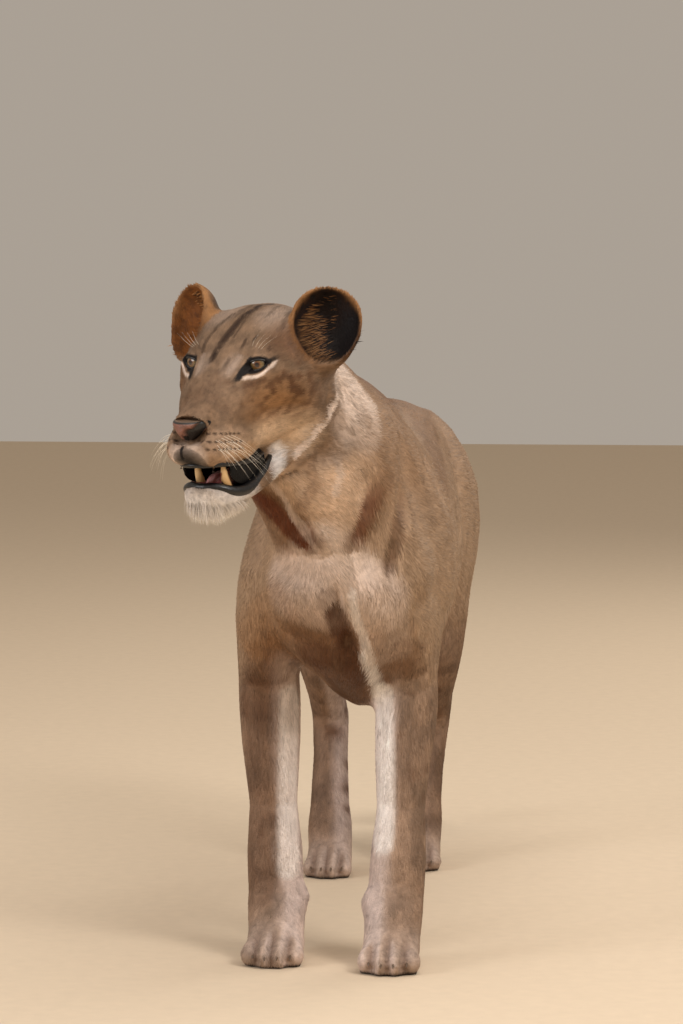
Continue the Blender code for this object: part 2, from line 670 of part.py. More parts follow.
def part_off(rest, name, region, parts, *args):
    """What lies inside the region becomes a piece of its own, with a thin cut round it."""
    piece = set_down(name, rest.data.copy(), parts)
    boolean(piece, region(*args, 0), "INTERSECT", parts)
    boolean(rest, region(*args, CUT), "DIFFERENCE", parts)
    return piece


def part_body(animal, parts):
    """The clay divided where a person would name its parts. What is left last is the trunk."""
    animal.name = "trunk"
    boolean(animal, block((-1, -2, -1), (1, 3, FLOOR)), "DIFFERENCE", parts)
    head = part_off(animal, "head", neck_plane, parts)
    part_off(animal, "neck", chest_plane, parts)
    part_off(head, "nose", nose_egg, parts)
    jaw = part_off(head, "jaw", mouth_plane, parts)
    for side, sign in SIDES.items():
        part_off(head, "ear_" + side, ear_plane, parts, sign)
        fore = part_off(animal, "foreleg_" + side, foreleg_sleeve, parts, sign)
        hind = part_off(animal, "hindleg_" + side, hindleg_sleeve, parts, sign)
        part_off(fore, "forepaw_" + side, paw_block, parts, sign, WRIST, -0.30, 0.20)
        part_off(hind, "hindpaw_" + side, paw_block, parts, sign, ANKLE, 0.60, 1.20)
    tail = part_off(animal, "tail", tail_block, parts, 1.135, 0.90)
    part_off(tail, "tail_brush", tail_block, parts, 1.290, 0.19)
    return head, jaw


def add_eyes(head, parts):
    for side, sign in SIDES.items():
        boolean(head, eye_shape(sign, EYE_RADIUS + CUT), "DIFFERENCE", parts)
        set_down("eye_" + side, mesh_of("eye_" + side, [eye_shape(sign, EYE_RADIUS)]), parts)


def canine(base, tip, radius, frame):
    """A fang, from its root to its tip."""
    base, tip = Vector(base), Vector(tip)
    bm = bmesh.new()
    stand = Matrix.Translation((base + tip) / 2) @ (tip - base).to_track_quat("Z", "Y").to_matrix().to_4x4()
    bmesh.ops.create_cone(
        bm, cap_ends=True, segments=8, radius1=radius, radius2=radius * 0.2, depth=(tip - base).length,
        matrix=frame @ stand,
    )
    return bm


def add_teeth(head, jaw, parts):
    """The fangs are the only teeth that the half open mouth shows."""
    for sign in SIDES.values():
        lower = [mirrored(point, sign) for point in LOWER_CANINE]
        upper = [mirrored(point, sign) for point in UPPER_CANINE]
        boolean(jaw, canine(*lower, CANINE_RADIUS, jaw_frame()), "UNION", parts)
        boolean(head, canine(*upper, CANINE_RADIUS, head_frame()), "UNION", parts)


def tongue_shape(grow):
    """The tongue lies in the lower jaw. A row: y, z of the middle, half width, height over and under."""
    stations = (
        (-0.100, -0.131, 0.008, 0.003, 0.004),
        (-0.090, -0.130, 0.0185, 0.005, 0.010),
        (-0.060, -0.127, 0.0230, 0.007, 0.020),
        (-0.025, -0.123, 0.0240, 0.009, 0.022),
        (0.000, -0.118, 0.0140, 0.005, 0.012),
    )
    rows = [(0, y, z, half + grow, over + grow, under + grow, 2, 2) for y, z, half, over, under in stations]
    rows[0] = (0, stations[0][0] - grow, *rows[0][2:])
    rows[-1] = (0, stations[-1][0] + grow, *rows[-1][2:])
    return loft(rows, UP, jaw_frame(), steps=1, around=12)


def add_tongue(head, jaw, parts):
    for piece in (jaw, head):
        boolean(piece, tongue_shape(CUT), "DIFFERENCE", parts)
    set_down("tongue", mesh_of("tongue", [tongue_shape(0)]), parts)


# Finish and place ---------------------------------------------------------------------------------


def give_finish(piece):
    """Its own material, in the colour of its kind."""
    kind = next((kind for kind in FINISHES if piece.name.startswith(kind)), "coat")
    colour, roughness = FINISHES[kind]
    made = bpy.data.materials.new(piece.name)
    made.use_nodes = True
    shader = made.node_tree.nodes["Principled BSDF"]
    shader.inputs["Base Color"].default_value = (*colour, 1)
    shader.inputs["Roughness"].default_value = roughness
    shader.inputs["Metallic"].default_value = 0
    piece.data.materials.clear()
    piece.data.materials.append(made)
    for face in piece.data.polygons:
        face.material_index = 0
        face.use_smooth = True


def corners(pieces):
    """The lowest and highest corner of the pieces, as they lie in their meshes."""
    points = np.array([vertex.co for piece in pieces for vertex in piece.data.vertices])
    return Vector(points.min(axis=0)), Vector(points.max(axis=0))


def stand_up(parts):
    """Each piece gets its origin in its middle, and all hang from an empty that puts them on the floor."""
    pieces = list(parts.objects)
    low, high = corners(pieces)
    root = bpy.data.objects.new("lioness_root", None)
    parts.objects.link(root)
    root.location = (-(low.x + high.x) / 2, -(low.y + high.y) / 2, -low.z)
    for piece in pieces:
        start, end = corners([piece])
        middle = (start + end) / 2
        piece.data.transform(Matrix.Translation(-middle))
        piece.location = middle
        piece.parent = root


def main():
    clear_scene()
    bench = new_collection("workbench")
    parts = new_collection("lioness")
    animal = thin_out(whole_animal(bench))
    bench.objects.unlink(animal)
    parts.objects.link(animal)
    head, jaw = part_body(animal, parts)
    add_eyes(head, parts)
    add_teeth(head, jaw, parts)
    add_tongue(head, jaw, parts)
    for piece in parts.objects:
        give_finish(piece)
    stand_up(parts)


main()
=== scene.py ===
import math

import bmesh
import bpy
import numpy as np
from mathutils import Matrix, Vector
from mathutils.bvhtree import BVHTree


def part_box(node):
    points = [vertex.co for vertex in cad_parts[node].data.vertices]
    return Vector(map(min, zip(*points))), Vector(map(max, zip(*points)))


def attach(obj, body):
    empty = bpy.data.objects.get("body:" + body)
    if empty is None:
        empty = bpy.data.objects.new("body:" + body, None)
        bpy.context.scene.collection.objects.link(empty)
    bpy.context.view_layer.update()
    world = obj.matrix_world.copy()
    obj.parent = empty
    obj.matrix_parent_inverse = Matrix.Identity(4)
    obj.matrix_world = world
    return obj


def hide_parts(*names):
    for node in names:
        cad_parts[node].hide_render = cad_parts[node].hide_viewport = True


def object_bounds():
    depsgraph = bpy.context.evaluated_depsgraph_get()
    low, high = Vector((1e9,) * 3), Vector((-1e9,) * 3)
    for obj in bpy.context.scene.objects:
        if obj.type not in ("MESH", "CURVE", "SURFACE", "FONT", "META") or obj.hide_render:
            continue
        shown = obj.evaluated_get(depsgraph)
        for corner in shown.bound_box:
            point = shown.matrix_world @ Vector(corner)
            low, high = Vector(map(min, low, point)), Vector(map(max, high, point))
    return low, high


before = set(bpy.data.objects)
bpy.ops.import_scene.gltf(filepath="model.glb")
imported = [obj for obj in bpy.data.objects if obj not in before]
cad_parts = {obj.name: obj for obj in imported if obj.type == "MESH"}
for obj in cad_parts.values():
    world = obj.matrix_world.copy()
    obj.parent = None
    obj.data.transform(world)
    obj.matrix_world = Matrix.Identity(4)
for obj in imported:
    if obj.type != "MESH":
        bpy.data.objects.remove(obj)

bl_info = {
    "name": "Standing Lioness",
    "version": (1, 0, 0),
    "blender": (4, 5, 0),
    "location": "View3D > Sidebar > Lioness",
    "description": "Skin, coat, eyes, teeth and stage of a life-size museum lioness",
    "category": "Add Mesh",
}

CAD_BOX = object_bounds()
SEED = 11

# The head's own frame: nose towards -Y, origin between the eyeballs, sizes for a head of size 1.
HEAD_SIZE = 1.05
HEAD_TURN = (-22.0, 6.0, 0.5)  # yaw, pitch and roll in degrees
EYE_PLACE = Vector((0.0495, 0.0045, 0.006))
EYE_TURN = 17.0
EYE_RADIUS = 0.0185
JAW_HINGE = Vector((0, 0.075, -0.040))
JAW_OPEN = 20.0
JAW_SET = 14.5  # the mouth closes a little on the solid jaw
EAR_PLACE = Vector((0.114, 0.096, 0.046))
EAR_LEAN = {1: 4, -1: 24}
EAR_RADII = (0.054, 0.046, 0.064)
HEAD_ABOVE_FEET = Vector((-0.132, -0.366, 0.985))  # from the floor midway between the forefeet

FLESH = (
    "head", "jaw", "ear_left", "ear_right", "neck", "trunk", "tail", "tail_brush",
    "foreleg_left", "foreleg_right", "forepaw_left", "forepaw_right",
    "hindleg_left", "hindleg_right", "hindpaw_left", "hindpaw_right",
)
SIDES = {"left": 1, "right": -1}


# Frames -------------------------------------------------------------------------------------------


def turned(degrees):
    """A turn about X, then Y, then Z."""
    x, y, z = (math.radians(a) for a in degrees)
    return Matrix.Rotation(z, 4, "Z") @ Matrix.Rotation(y, 4, "Y") @ Matrix.Rotation(x, 4, "X")


def middle(node):
    low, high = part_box(node)
    return (low + high) / 2


def head_frame():
    yaw, pitch, roll = (math.radians(a) for a in HEAD_TURN)
    turn = Matrix.Rotation(yaw, 4, "Z") @ Matrix.Rotation(pitch, 4, "X") @ Matrix.Rotation(roll, 4, "Y")
    turn @= Matrix.Scale(HEAD_SIZE, 4)
    eyes = (middle("eye_left") + middle("eye_right")) / 2
    between = turn @ Vector((0, EYE_PLACE.y, EYE_PLACE.z))
    return Matrix.Translation(eyes - between) @ turn


HEAD = head_frame()


def jaw_frame(angle):
    return HEAD @ Matrix.Translation(JAW_HINGE) @ turned((angle, 0, 0)) @ Matrix.Translation(-JAW_HINGE)


JAW = jaw_frame(JAW_SET)
FEET = HEAD.translation - HEAD_ABOVE_FEET  # the point on the floor midway between the forefeet


def eye_frame(side):
    """+Z towards what the eye looks at, +Y up."""
    place = Vector((EYE_PLACE.x * side, EYE_PLACE.y, EYE_PLACE.z))
    return HEAD @ Matrix.Translation(place) @ turned((90, 0, side * EYE_TURN))


def eye_place(points, side):
    """World points in an eye's frame, with x towards the outer corner."""
    local = into(eye_frame(side), points)
    local[:, 0] *= side
    return local


def ear_frame(side):
    place = Vector((EAR_PLACE.x * side, EAR_PLACE.y, EAR_PLACE.z))
    return HEAD @ Matrix.Translation(place) @ turned((-10, side * EAR_LEAN[side], side * 28))


def from_feet(points):
    """World points measured from the floor midway between the forefeet."""
    return points - np.array(FEET)


def into(frame_matrix, points):
    """World points in a frame's own coordinates."""
    inverse = np.array(frame_matrix.inverted())
    return points @ inverse[:3, :3].T + inverse[:3, 3]


def out_of(frame_matrix, points):
    matrix = np.array(frame_matrix)
    return np.asarray(points) @ matrix[:3, :3].T + matrix[:3, 3]


def axes_of(frame_matrix):
    """A frame's axes as the columns of an array, each of length 1."""
    return np.array(frame_matrix.to_3x3().normalized())


def unit(rows):
    """Each row at length 1."""
    return rows / np.linalg.norm(rows, axis=1)[:, None]


def ramp(values, low, high):
    """0 below low, 1 above high, and smooth between."""
    t = np.clip((values - low) / (high - low), 0, 1)
    return t * t * (3 - 2 * t)


def apart(points, place, reach):
    """0 at a place, and 1 where its reach ends."""
    return (((points - np.array(place)) / np.array(reach)) ** 2).sum(axis=1)


def near(points, place, reach):
    """1 at a place, and 0 beyond its reach."""
    return np.clip(1 - apart(points, place, reach), 0, 1) ** 2


def both(points):
    """The points folded over onto the left side."""
    folded = points.copy()
    folded[:, 0] = np.abs(folded[:, 0])
    return folded


# Noise --------------------------------------------------------------------------------------------


def lattice(cells):
    """A repeatable number from 0 to 1 for each whole-numbered cell."""
    n = cells.astype(np.int64)
    mix = n[:, 0] * 73856093 ^ n[:, 1] * 19349663 ^ n[:, 2] * 83492791
    mix = (mix ^ (mix >> 13)) * 1274126177
    return ((mix ^ (mix >> 16)) & 0xFFFF) / 65535.0


def noise(points, size):
    """Smooth value noise from 0 to 1, with lumps of about that size."""
    scaled = points / size
    cell = np.floor(scaled)
    t = scaled - cell
    t = t * t * (3 - 2 * t)
    total = np.zeros(len(points))
    for x in (0, 1):
        for y in (0, 1):
            for z in (0, 1):
                corner = np.array((x, y, z))
                weight = np.abs(1 - corner - t).prod(axis=1)
                total += weight * lattice(cell + corner)
    return total


# Meshes -------------------------------------------------------------------------------------------


def linked(name, mesh):
    made = bpy.data.objects.new(name, mesh)
    bpy.context.scene.collection.objects.link(made)
    return made


def points_of(mesh):
    flat = np.empty(len(mesh.vertices) * 3)
    mesh.vertices.foreach_get("co", flat)
    return flat.reshape(-1, 3)


def normals_of(mesh):
    flat = np.empty(len(mesh.vertices) * 3)
    mesh.vertex_normals.foreach_get("vector", flat)
    return flat.reshape(-1, 3)


def move_points(mesh, points):
    mesh.vertices.foreach_set("co", np.ascontiguousarray(points).ravel())
    mesh.update()


def opened(mesh):
    """A working copy of a mesh."""
    bm = bmesh.new()
    bm.from_mesh(mesh)
    return bm


def closed(bm, mesh):
    """The mesh, holding what the working copy held."""
    bm.to_mesh(mesh)
    bm.free()
    return mesh


def finished(obj):
    """The object with its modifiers made part of its own mesh."""
    bpy.context.view_layer.update()
    graph = bpy.context.evaluated_depsgraph_get()
    mesh = bpy.data.meshes.new_from_object(obj.evaluated_get(graph))
    obj.modifiers.clear()
    old = obj.data
    obj.data = mesh
    bpy.data.meshes.remove(old)
    return obj


def modified(obj, kind, **values):
    """One modifier, set and made part of the mesh."""
    made = obj.modifiers.new(kind.lower(), kind)
    for key, value in values.items():
        setattr(made, key, value)
    return finished(obj)


def strokes(points, moves, sides=(1, -1)):
    """Soft strokes of the thumb in a frame's coordinates: place, reach and move in millimetres."""
    for place, reach, move in np.array(moves) / 1000:
        for side in sides if place[0] else (1,):
            flip = np.array((side, 1, 1))
            points = points + near(points, place * flip, reach)[:, None] * move * flip
    return points


def tint(mesh, colours):
    """The colours of the points, or one colour for all, as an attribute that the materials read."""
    layer = mesh.color_attributes.new("markings_and_shade", "FLOAT_COLOR", "POINT")
    flat = np.ones((len(mesh.vertices), 4), np.float32)
    flat[:, :3] = colours
    layer.data.foreach_set("color", flat.ravel())


def smooth_shaded(mesh):
    mesh.polygons.foreach_set("use_smooth", np.ones(len(mesh.polygons), bool))


# The skin -----------------------------------------------------------------------------------------

VOXEL = 0.0046
LEG_SWELL = 0.0048  # what smoothing takes off the legs
TOE_GROOVE = 0.0065
SOLE_GAP = 0.0015  # between the soles and the floor
SOLE_FLAT = 0.0040
LID_THICK = 0.0016
LID_ROLL = 0.0018
BALL_HOLLOW = 0.0045  # how far the skin goes inside the eyeball in the opening of the lids
COAT_OVER_BODY = 0.0065
COAT_OVER_FEET = 0.0020
COAT_OVER_EARS = 0.0012
LESS_OVER_FACE = 0.0045


def coat_depth(points):
    """How far the skin lies inside the tips of the coat."""
    head = into(HEAD, points)
    body = from_feet(points)
    face = 1 - ramp(head[:, 1], 0.06, 0.20)
    depth = COAT_OVER_BODY - LESS_OVER_FACE * face
    feet = 1 - ramp(body[:, 2], 0.08, 0.25)
    depth = depth - (depth - COAT_OVER_FEET) * feet
    for side in SIDES.values():
        ear = into(ear_frame(side), points)
        depth = np.where(near(ear, (0, 0, 0), (0.075, 0.075, 0.085)) > 0.05, COAT_OVER_EARS, depth)
    return depth


def flesh_mesh():
    """One mesh of all the flesh, with the eyeballs in place to fill the sockets."""
    bm = bmesh.new()
    for name in FLESH + ("eye_left", "eye_right"):
        before = len(bm.verts)
        bm.from_mesh(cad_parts[name].data)
        if name == "jaw":
            bm.verts.ensure_lookup_table()
            closing = JAW @ jaw_frame(JAW_OPEN).inverted()
            bmesh.ops.transform(bm, matrix=closing, verts=bm.verts[before:])
    bmesh.ops.remove_doubles(bm, verts=bm.verts, dist=1e-5)
    return closed(bm, bpy.data.meshes.new("skin"))


def keep_largest(mesh):
    """Drops whatever isn't joined to the main skin."""
    bm = opened(mesh)
    bm.verts.ensure_lookup_table()
    left = set(bm.verts)
    groups = []
    while left:
        stack = [left.pop()]
        group = list(stack)
        while stack:
            for edge in stack.pop().link_edges:
                for vert in edge.verts:
                    if vert in left:
                        left.remove(vert)
                        stack.append(vert)
                        group.append(vert)
        groups.append(group)
    groups.sort(key=len)
    for group in groups[:-1]:
        bmesh.ops.delete(bm, geom=group, context="VERTS")
    closed(bm, mesh)


def grouped(obj, weights, kind, **values):
    """A modifier that works where the weights say, made part of the mesh."""
    group = obj.vertex_groups.new(name="where")
    full = np.flatnonzero(weights >= 0.999)
    group.add(full.tolist(), 1.0, "REPLACE")
    for index in np.flatnonzero((weights > 0.01) & (weights < 0.999)):
        group.add([int(index)], float(weights[index]), "REPLACE")
    modified(obj, kind, vertex_group="where", **values)
    obj.vertex_groups.clear()
    return obj


def junctions(points):
    """1 where the neck runs into the chest and shoulders."""
    body = from_feet(points)
    front = near(body, (-0.010, -0.200, 0.680), (0.170, 0.140, 0.130))
    reach = (0.050, 0.080, 0.120)
    left, right = (near(body, (0.105 * side, -0.140, 0.760), reach) for side in SIDES.values())
    return np.clip(2.5 * np.maximum(front, np.maximum(left, right)), 0, 1)


def plain_parts(points):
    """1 on the body, and 0 on the face, the ears and the paws, which keep all their faces."""
    head = into(HEAD, points)
    body = from_feet(points)
    kept = (head[:, 1] < 0.05) & (head[:, 2] > -0.25) & (np.abs(head[:, 0]) < 0.12)
    for side in SIDES.values():
        kept |= ear_zone(points, side)[2] > 0.05
    kept |= body[:, 2] < 0.055
    return 1.0 - kept


def refine_face(mesh):
    """Finer faces on the front of the head."""
    bm = opened(mesh)
    inverse = HEAD.inverted()
    edges = []
    for edge in bm.edges:
        place = inverse @ ((edge.verts[0].co + edge.verts[1].co) / 2)
        if -0.20 < place.y < 0.045 and place.z > -0.24:
            edges.append(edge)
    bmesh.ops.subdivide_edges(bm, edges=edges, cuts=1, use_grid_fill=True, smooth=0.0)
    bmesh.ops.triangulate(bm, faces=[f for f in bm.faces if len(f.verts) > 4])
    closed(bm, mesh)


# place, reach and move in millimetres, on the left of the head's frame
FACE_STROKES = (
    ((26, -115, -108), (26, 30, 30), (3, -3, -1)),  # whisker pad
    ((0, -132, -112), (6, 20, 30), (0, 4, 0)),  # groove of the upper lip
    ((46, -70, -112), (20, 30, 22), (3, 0, -1)),  # back of the pad
    ((0, -138, -136), (34, 42, 28), (0, 1, 9)),  # front of the upper lip
    ((34, -105, -138), (24, 42, 26), (0, 0, 4)),
    ((46, -20, -138), (22, 46, 28), (2, 0, -8)),  # lip at the corner of the mouth
    ((0, -135, -58), (32, 28, 14), (0, -4, -3)),  # end of the bridge
    ((50, -55, -72), (22, 30, 18), (-3, 2, 0)),  # furrow above the pad
    ((36, -30, -30), (16, 34, 18), (-3, 2, -2)),  # from the eye to the nose
    ((52, -12, 30), (34, 20, 14), (0, -4, 2)),  # brow
    ((60, -6, -34), (34, 22, 14), (1, -3, 0)),  # below the eye
    ((90, 30, -55), (40, 60, 34), (4, -2, 0)),  # cheek
    ((0, 10, 45), (10, 60, 30), (0, 1, -3)),  # furrow of the forehead
)


# The opening between the lids, in an eye's frame with x outwards.
LID_WIDTH = (0.0170, 0.0175)  # to the outer corner and to the inner one
LID_HALF = (0.0070, 0.0082)  # over and under the middle
LID_SHIFT = 0.0010
LID_SLANT = 0.16
DUCT_START = 0.010
DUCT_DROP = 0.70


# place, reach and move in millimetres, from the floor between the forefeet
BODY_FORMS = (
    ((-70, -262, 770), (36, 70, 60), (4, 11, 0)),  # right furrow of the throat
    ((70, -208, 780), (26, 60, 60), (-5, 10, 0)),  # left furrow of the throat
    ((0, -205, 700), (120, 100, 60), (0, -12, 0)),  # the neck runs into the chest
    ((0, -190, 637), (115, 100, 60), (0, -28, 0)),
    ((0, -185, 545), (140, 110, 60), (0, 16, 0)),
    ((-36, -296, 765), (22, 70, 50), (0, -10, 0)),  # fold of the throat
    ((2, -240, 712), (24, 60, 36), (0, -10, 0)),
    ((20, -215, 665), (45, 60, 45), (0, -9, 0)),  # breastbone
    ((20, -200, 610), (13, 70, 50), (0, 16, 0)),  # groove of the chest
    ((30, -165, 545), (14, 70, 50), (0, 18, 0)),
    ((76, -185, 605), (36, 60, 70), (3, -6, 0)),  # muscles of the chest
    ((-48, -195, 595), (36, 60, 70), (-3, -6, 0)),
    ((119, -108, 755), (20, 40, 55), (-9, 5, 0)),  # front edge of the shoulder
    ((107, -158, 665), (18, 40, 50), (-8, 6, 0)),
    ((140, -70, 640), (40, 60, 60), (8, -4, 0)),  # point of the shoulder
    ((-115, -60, 640), (40, 60, 60), (-8, -4, 0)),
    ((150, 60, 760), (50, 30, 100), (-6, 0, 0)),  # back edge of the shoulder
    ((-100, 60, 760), (50, 30, 100), (6, 0, 0)),
    ((170, 420, 600), (60, 80, 160), (-12, 0, 0)),  # flank
    ((-130, 420, 600), (60, 80, 160), (12, 0, 0)),
    ((150, 760, 640), (50, 110, 120), (10, 0, 0)),  # thigh
    ((-110, 760, 640), (50, 110, 120), (-10, 0, 0)),
)
# the neck falls away behind the edge of the cheek, in the head's frame
CHEEK_FORMS = (
    ((112, 168, -60), (34, 32, 50), (-10, 4, 0)),
    ((104, 140, -105), (34, 34, 34), (-10, 6, 0)),
    ((86, 108, -140), (34, 36, 30), (-8, 8, 0)),
    ((102, 128, -60), (24, 22, 40), (5, -1, 0)),
    ((98, 104, -88), (24, 22, 26), (5, -2, 0)),
    ((80, 76, -116), (24, 24, 26), (4, -3, 0)),
)


def almond(points):
    """How far a point lies outside the opening between the lids, in metres, and below 0 inside it."""
    x = points[:, 0] + LID_SHIFT
    lean = points[:, 1] - LID_SLANT * x + DUCT_DROP * np.clip(-x - DUCT_START, 0, None)
    width = np.where(x > 0, *LID_WIDTH)
    share = np.clip(np.abs(x) / width, 0, 1)
    half = np.where(lean > 0, *LID_HALF) * (1 - share ** 2.1) ** 0.85
    beyond = np.clip(np.abs(x) - width, 0, None)
    return np.hypot(np.clip(np.abs(lean) - half, 0, None), beyond) - np.clip(half - np.abs(lean), 0, None)


def open_lids(points):
    """Carves the opening of each eye, with a thick lid round the ball."""
    for side in SIDES.values():
        local = eye_place(points, side)
        radius = np.linalg.norm(local, axis=1)
        facing = ramp(local[:, 2] / np.maximum(radius, 1e-6), 0.30, 0.55)
        close = facing * (1 - ramp(radius, 0.030, 0.042))
        gap = almond(local)
        lid = EYE_RADIUS + LID_THICK + LID_ROLL * np.exp(-((gap - 0.004) / 0.0035) ** 2)
        raised = np.maximum(radius, lid)
        swell = ramp(gap, 0.016, 0.004)
        wanted = radius + (raised - radius) * np.where(raised > radius, 1.0, swell)
        wanted = np.where(gap < -0.0004, EYE_RADIUS - BALL_HOLLOW, wanted)
        wanted = radius + (wanted - radius) * close
        local *= (wanted / np.maximum(radius, 1e-6))[:, None]
        local[:, 0] *= side
        points = out_of(eye_frame(side), local)
    return points


PAWS = ("forepaw_left", "forepaw_right", "hindpaw_left", "hindpaw_right")


def toe_grooves(points):
    """1 in the grooves between the four toes of each paw."""
    x, y, z = points.T
    total = np.zeros(len(points))
    for name in PAWS:
        low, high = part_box(name)
        across = 2 * (x - low.x) / (high.x - low.x) - 1
        ahead = (1 - ramp(y, low.y + 0.030, low.y + 0.075)) * (y > low.y - 0.02) * (np.abs(across) < 1.2)
        up = ramp(z, low.z + 0.002, low.z + 0.010) * (1 - ramp(z, low.z + 0.045, low.z + 0.070))
        groove = sum(np.exp(-(((across - place) / 0.13) ** 2)) for place in (-0.50, 0.0, 0.50))
        total = np.maximum(total, groove * ahead * up)
    return total


def build_skin():
    obj = linked("skin", flesh_mesh())
    modified(obj, "REMESH", mode="VOXEL", voxel_size=VOXEL)
    keep_largest(obj.data)
    modified(obj, "SMOOTH", factor=0.5, iterations=5)
    mesh = obj.data
    points = points_of(mesh)
    move_points(mesh, points - normals_of(mesh) * coat_depth(points)[:, None])
    modified(obj, "SMOOTH", factor=0.5, iterations=2)
    grouped(obj, junctions(points_of(obj.data)), "SMOOTH", factor=0.5, iterations=140)
    grouped(obj, plain_parts(points_of(obj.data)), "DECIMATE", ratio=0.35)
    refine_face(obj.data)
    modified(obj, "SMOOTH", factor=0.5, iterations=1)
    mesh = obj.data
    points = points_of(mesh)
    height = points[:, 2] - FEET.z
    swell = LEG_SWELL * ramp(height, 0.03, 0.10) * (1 - ramp(height, 0.40, 0.52))
    points += normals_of(mesh) * (swell - TOE_GROOVE * toe_grooves(points))[:, None]
    points = out_of(HEAD, strokes(into(HEAD, points), FACE_STROKES + CHEEK_FORMS))
    points = strokes(from_feet(points), BODY_FORMS, (1,)) + np.array(FEET)
    points = open_lids(points)
    floor = FEET.z + SOLE_GAP
    points[:, 2] = np.where(points[:, 2] < floor + SOLE_FLAT, floor, points[:, 2])
    move_points(mesh, points)
    smooth_shaded(mesh)
    return obj


# Markings and painted shade -----------------------------------------------------------------------


def tone(red, green, blue):
    """A colour from the 0 to 255 of a paint chart, made linear."""
    return np.array([(c / 255) ** 2.2 for c in (red, green, blue)])


BACK = tone(146, 116, 90)
FLANK = tone(160, 133, 108)
# dark brown of the crest along the back, also laid on as painted shade under the chest and along the flanks
CREST_AND_SHADE = tone(106, 72, 46)
BROW = tone(128, 102, 80)
BRIDGE = tone(104, 80, 61)
CHEEK = tone(146, 104, 66)
JOWL = tone(216, 184, 152)
THROAT = tone(214, 182, 154)
CHEST = tone(212, 188, 172)
CREAM = tone(220, 198, 182)
WHITE = tone(255, 250, 246)
PALE_LEG = tone(214, 194, 186)
GREY_LEG = tone(146, 120, 101)
# painted shade for the hollows where the throat runs into the chest
FURROW_SHADE = tone(92, 48, 24)
UMBER = tone(84, 54, 34)
SOOT = tone(24, 17, 14)
RUST = tone(104, 68, 38)
LINING = tone(92, 40, 40)


def paint(colours, mask, with_tone):
    """A tone laid over the colours, as strongly as the mask says."""
    colours += (with_tone - colours) * np.clip(mask, 0, 1)[:, None]


def streak(points, start, end, width):
    """1 along a line from start to end, and 0 a width away from it."""
    start, end = np.array(start, float), np.array(end, float)
    run = end - start
    share = np.clip(((points - start) @ run) / (run @ run), 0, 1)
    away = np.linalg.norm(points - start - share[:, None] * run, axis=1)
    return np.clip(1 - (away / width) ** 2, 0, 1)


def trail(points, places, width):
    """1 along a line through the places, and 0 a width away from it."""
    pairs = zip(places[:-1], places[1:])
    return np.max([streak(points, start, end, width) for start, end in pairs], axis=0)


SPINE = ((-0.30, -0.17, 0.0, 0.25, 0.55, 0.9, 1.1), (-0.10, -0.044, 0.028, 0.036, 0.024, 0.010, 0.008))


def spine_x(y):
    """How far the line of the back lies to the left, from the nape to the tail."""
    return np.interp(y, *SPINE)


def mouth_hollows(points):
    """The hollows over and under the opening of the mouth: below 1 inside each."""
    palate = apart(into(HEAD, points), (0, -0.054, -0.136), (0.0405, 0.062, 0.031))
    under = apart(into(JAW, points), (0, -0.050, -0.120), (0.0435, 0.065, 0.026))
    return palate, under


def in_mouth(points):
    """1 inside the hollow of the mouth, 0 outside it."""
    palate, under = mouth_hollows(points)
    return np.maximum(1 - ramp(palate, 0.90, 1.10), 1 - ramp(under, 0.90, 1.10))


def mouth_edge(points):
    """1 on the black skin of the lips, round the mouth's opening."""
    palate, under = mouth_hollows(points)
    return 1 - ramp(np.minimum(palate / 1.25, under / 1.32), 0.95, 1.10)


WHISKER_HEIGHTS = (-0.0765, -0.0885, -0.0995)


def whisker_spot(row, spot):
    """The place along the muzzle (y) and the height (z) of a whisker's dark spot, in the head's frame."""
    return -0.138 + 0.0085 * spot + 0.003 * row, WHISKER_HEIGHTS[row] - 0.0011 * spot


def nose_pad(points):
    """1 on the bare skin of the nose."""
    return 1 - ramp(apart(into(HEAD, points), (0, -0.131, -0.0725), (0.0300, 0.022, 0.0165)), 0.92, 1.08)


def lid_gap(points):
    """The distance outside the nearer eye's opening, and far away elsewhere."""
    gap = np.full(len(points), 1.0)
    for side in SIDES.values():
        local = eye_place(points, side)
        close = (local[:, 2] > 0.002) & (np.linalg.norm(local, axis=1) < 0.05)
        gap = np.where(close, np.minimum(gap, almond(local)), gap)
    return gap


def ear_zone(points, side):
    """A point's place in the ear, its share of the ear's size, and 1 where it belongs to the ear."""
    local = into(ear_frame(side), points)
    share = np.linalg.norm(local / np.array(EAR_RADII), axis=1)
    belongs = (1 - ramp(share, 1.02, 1.14)) * ramp(local[:, 2], -0.062, -0.036)
    return local, share, belongs


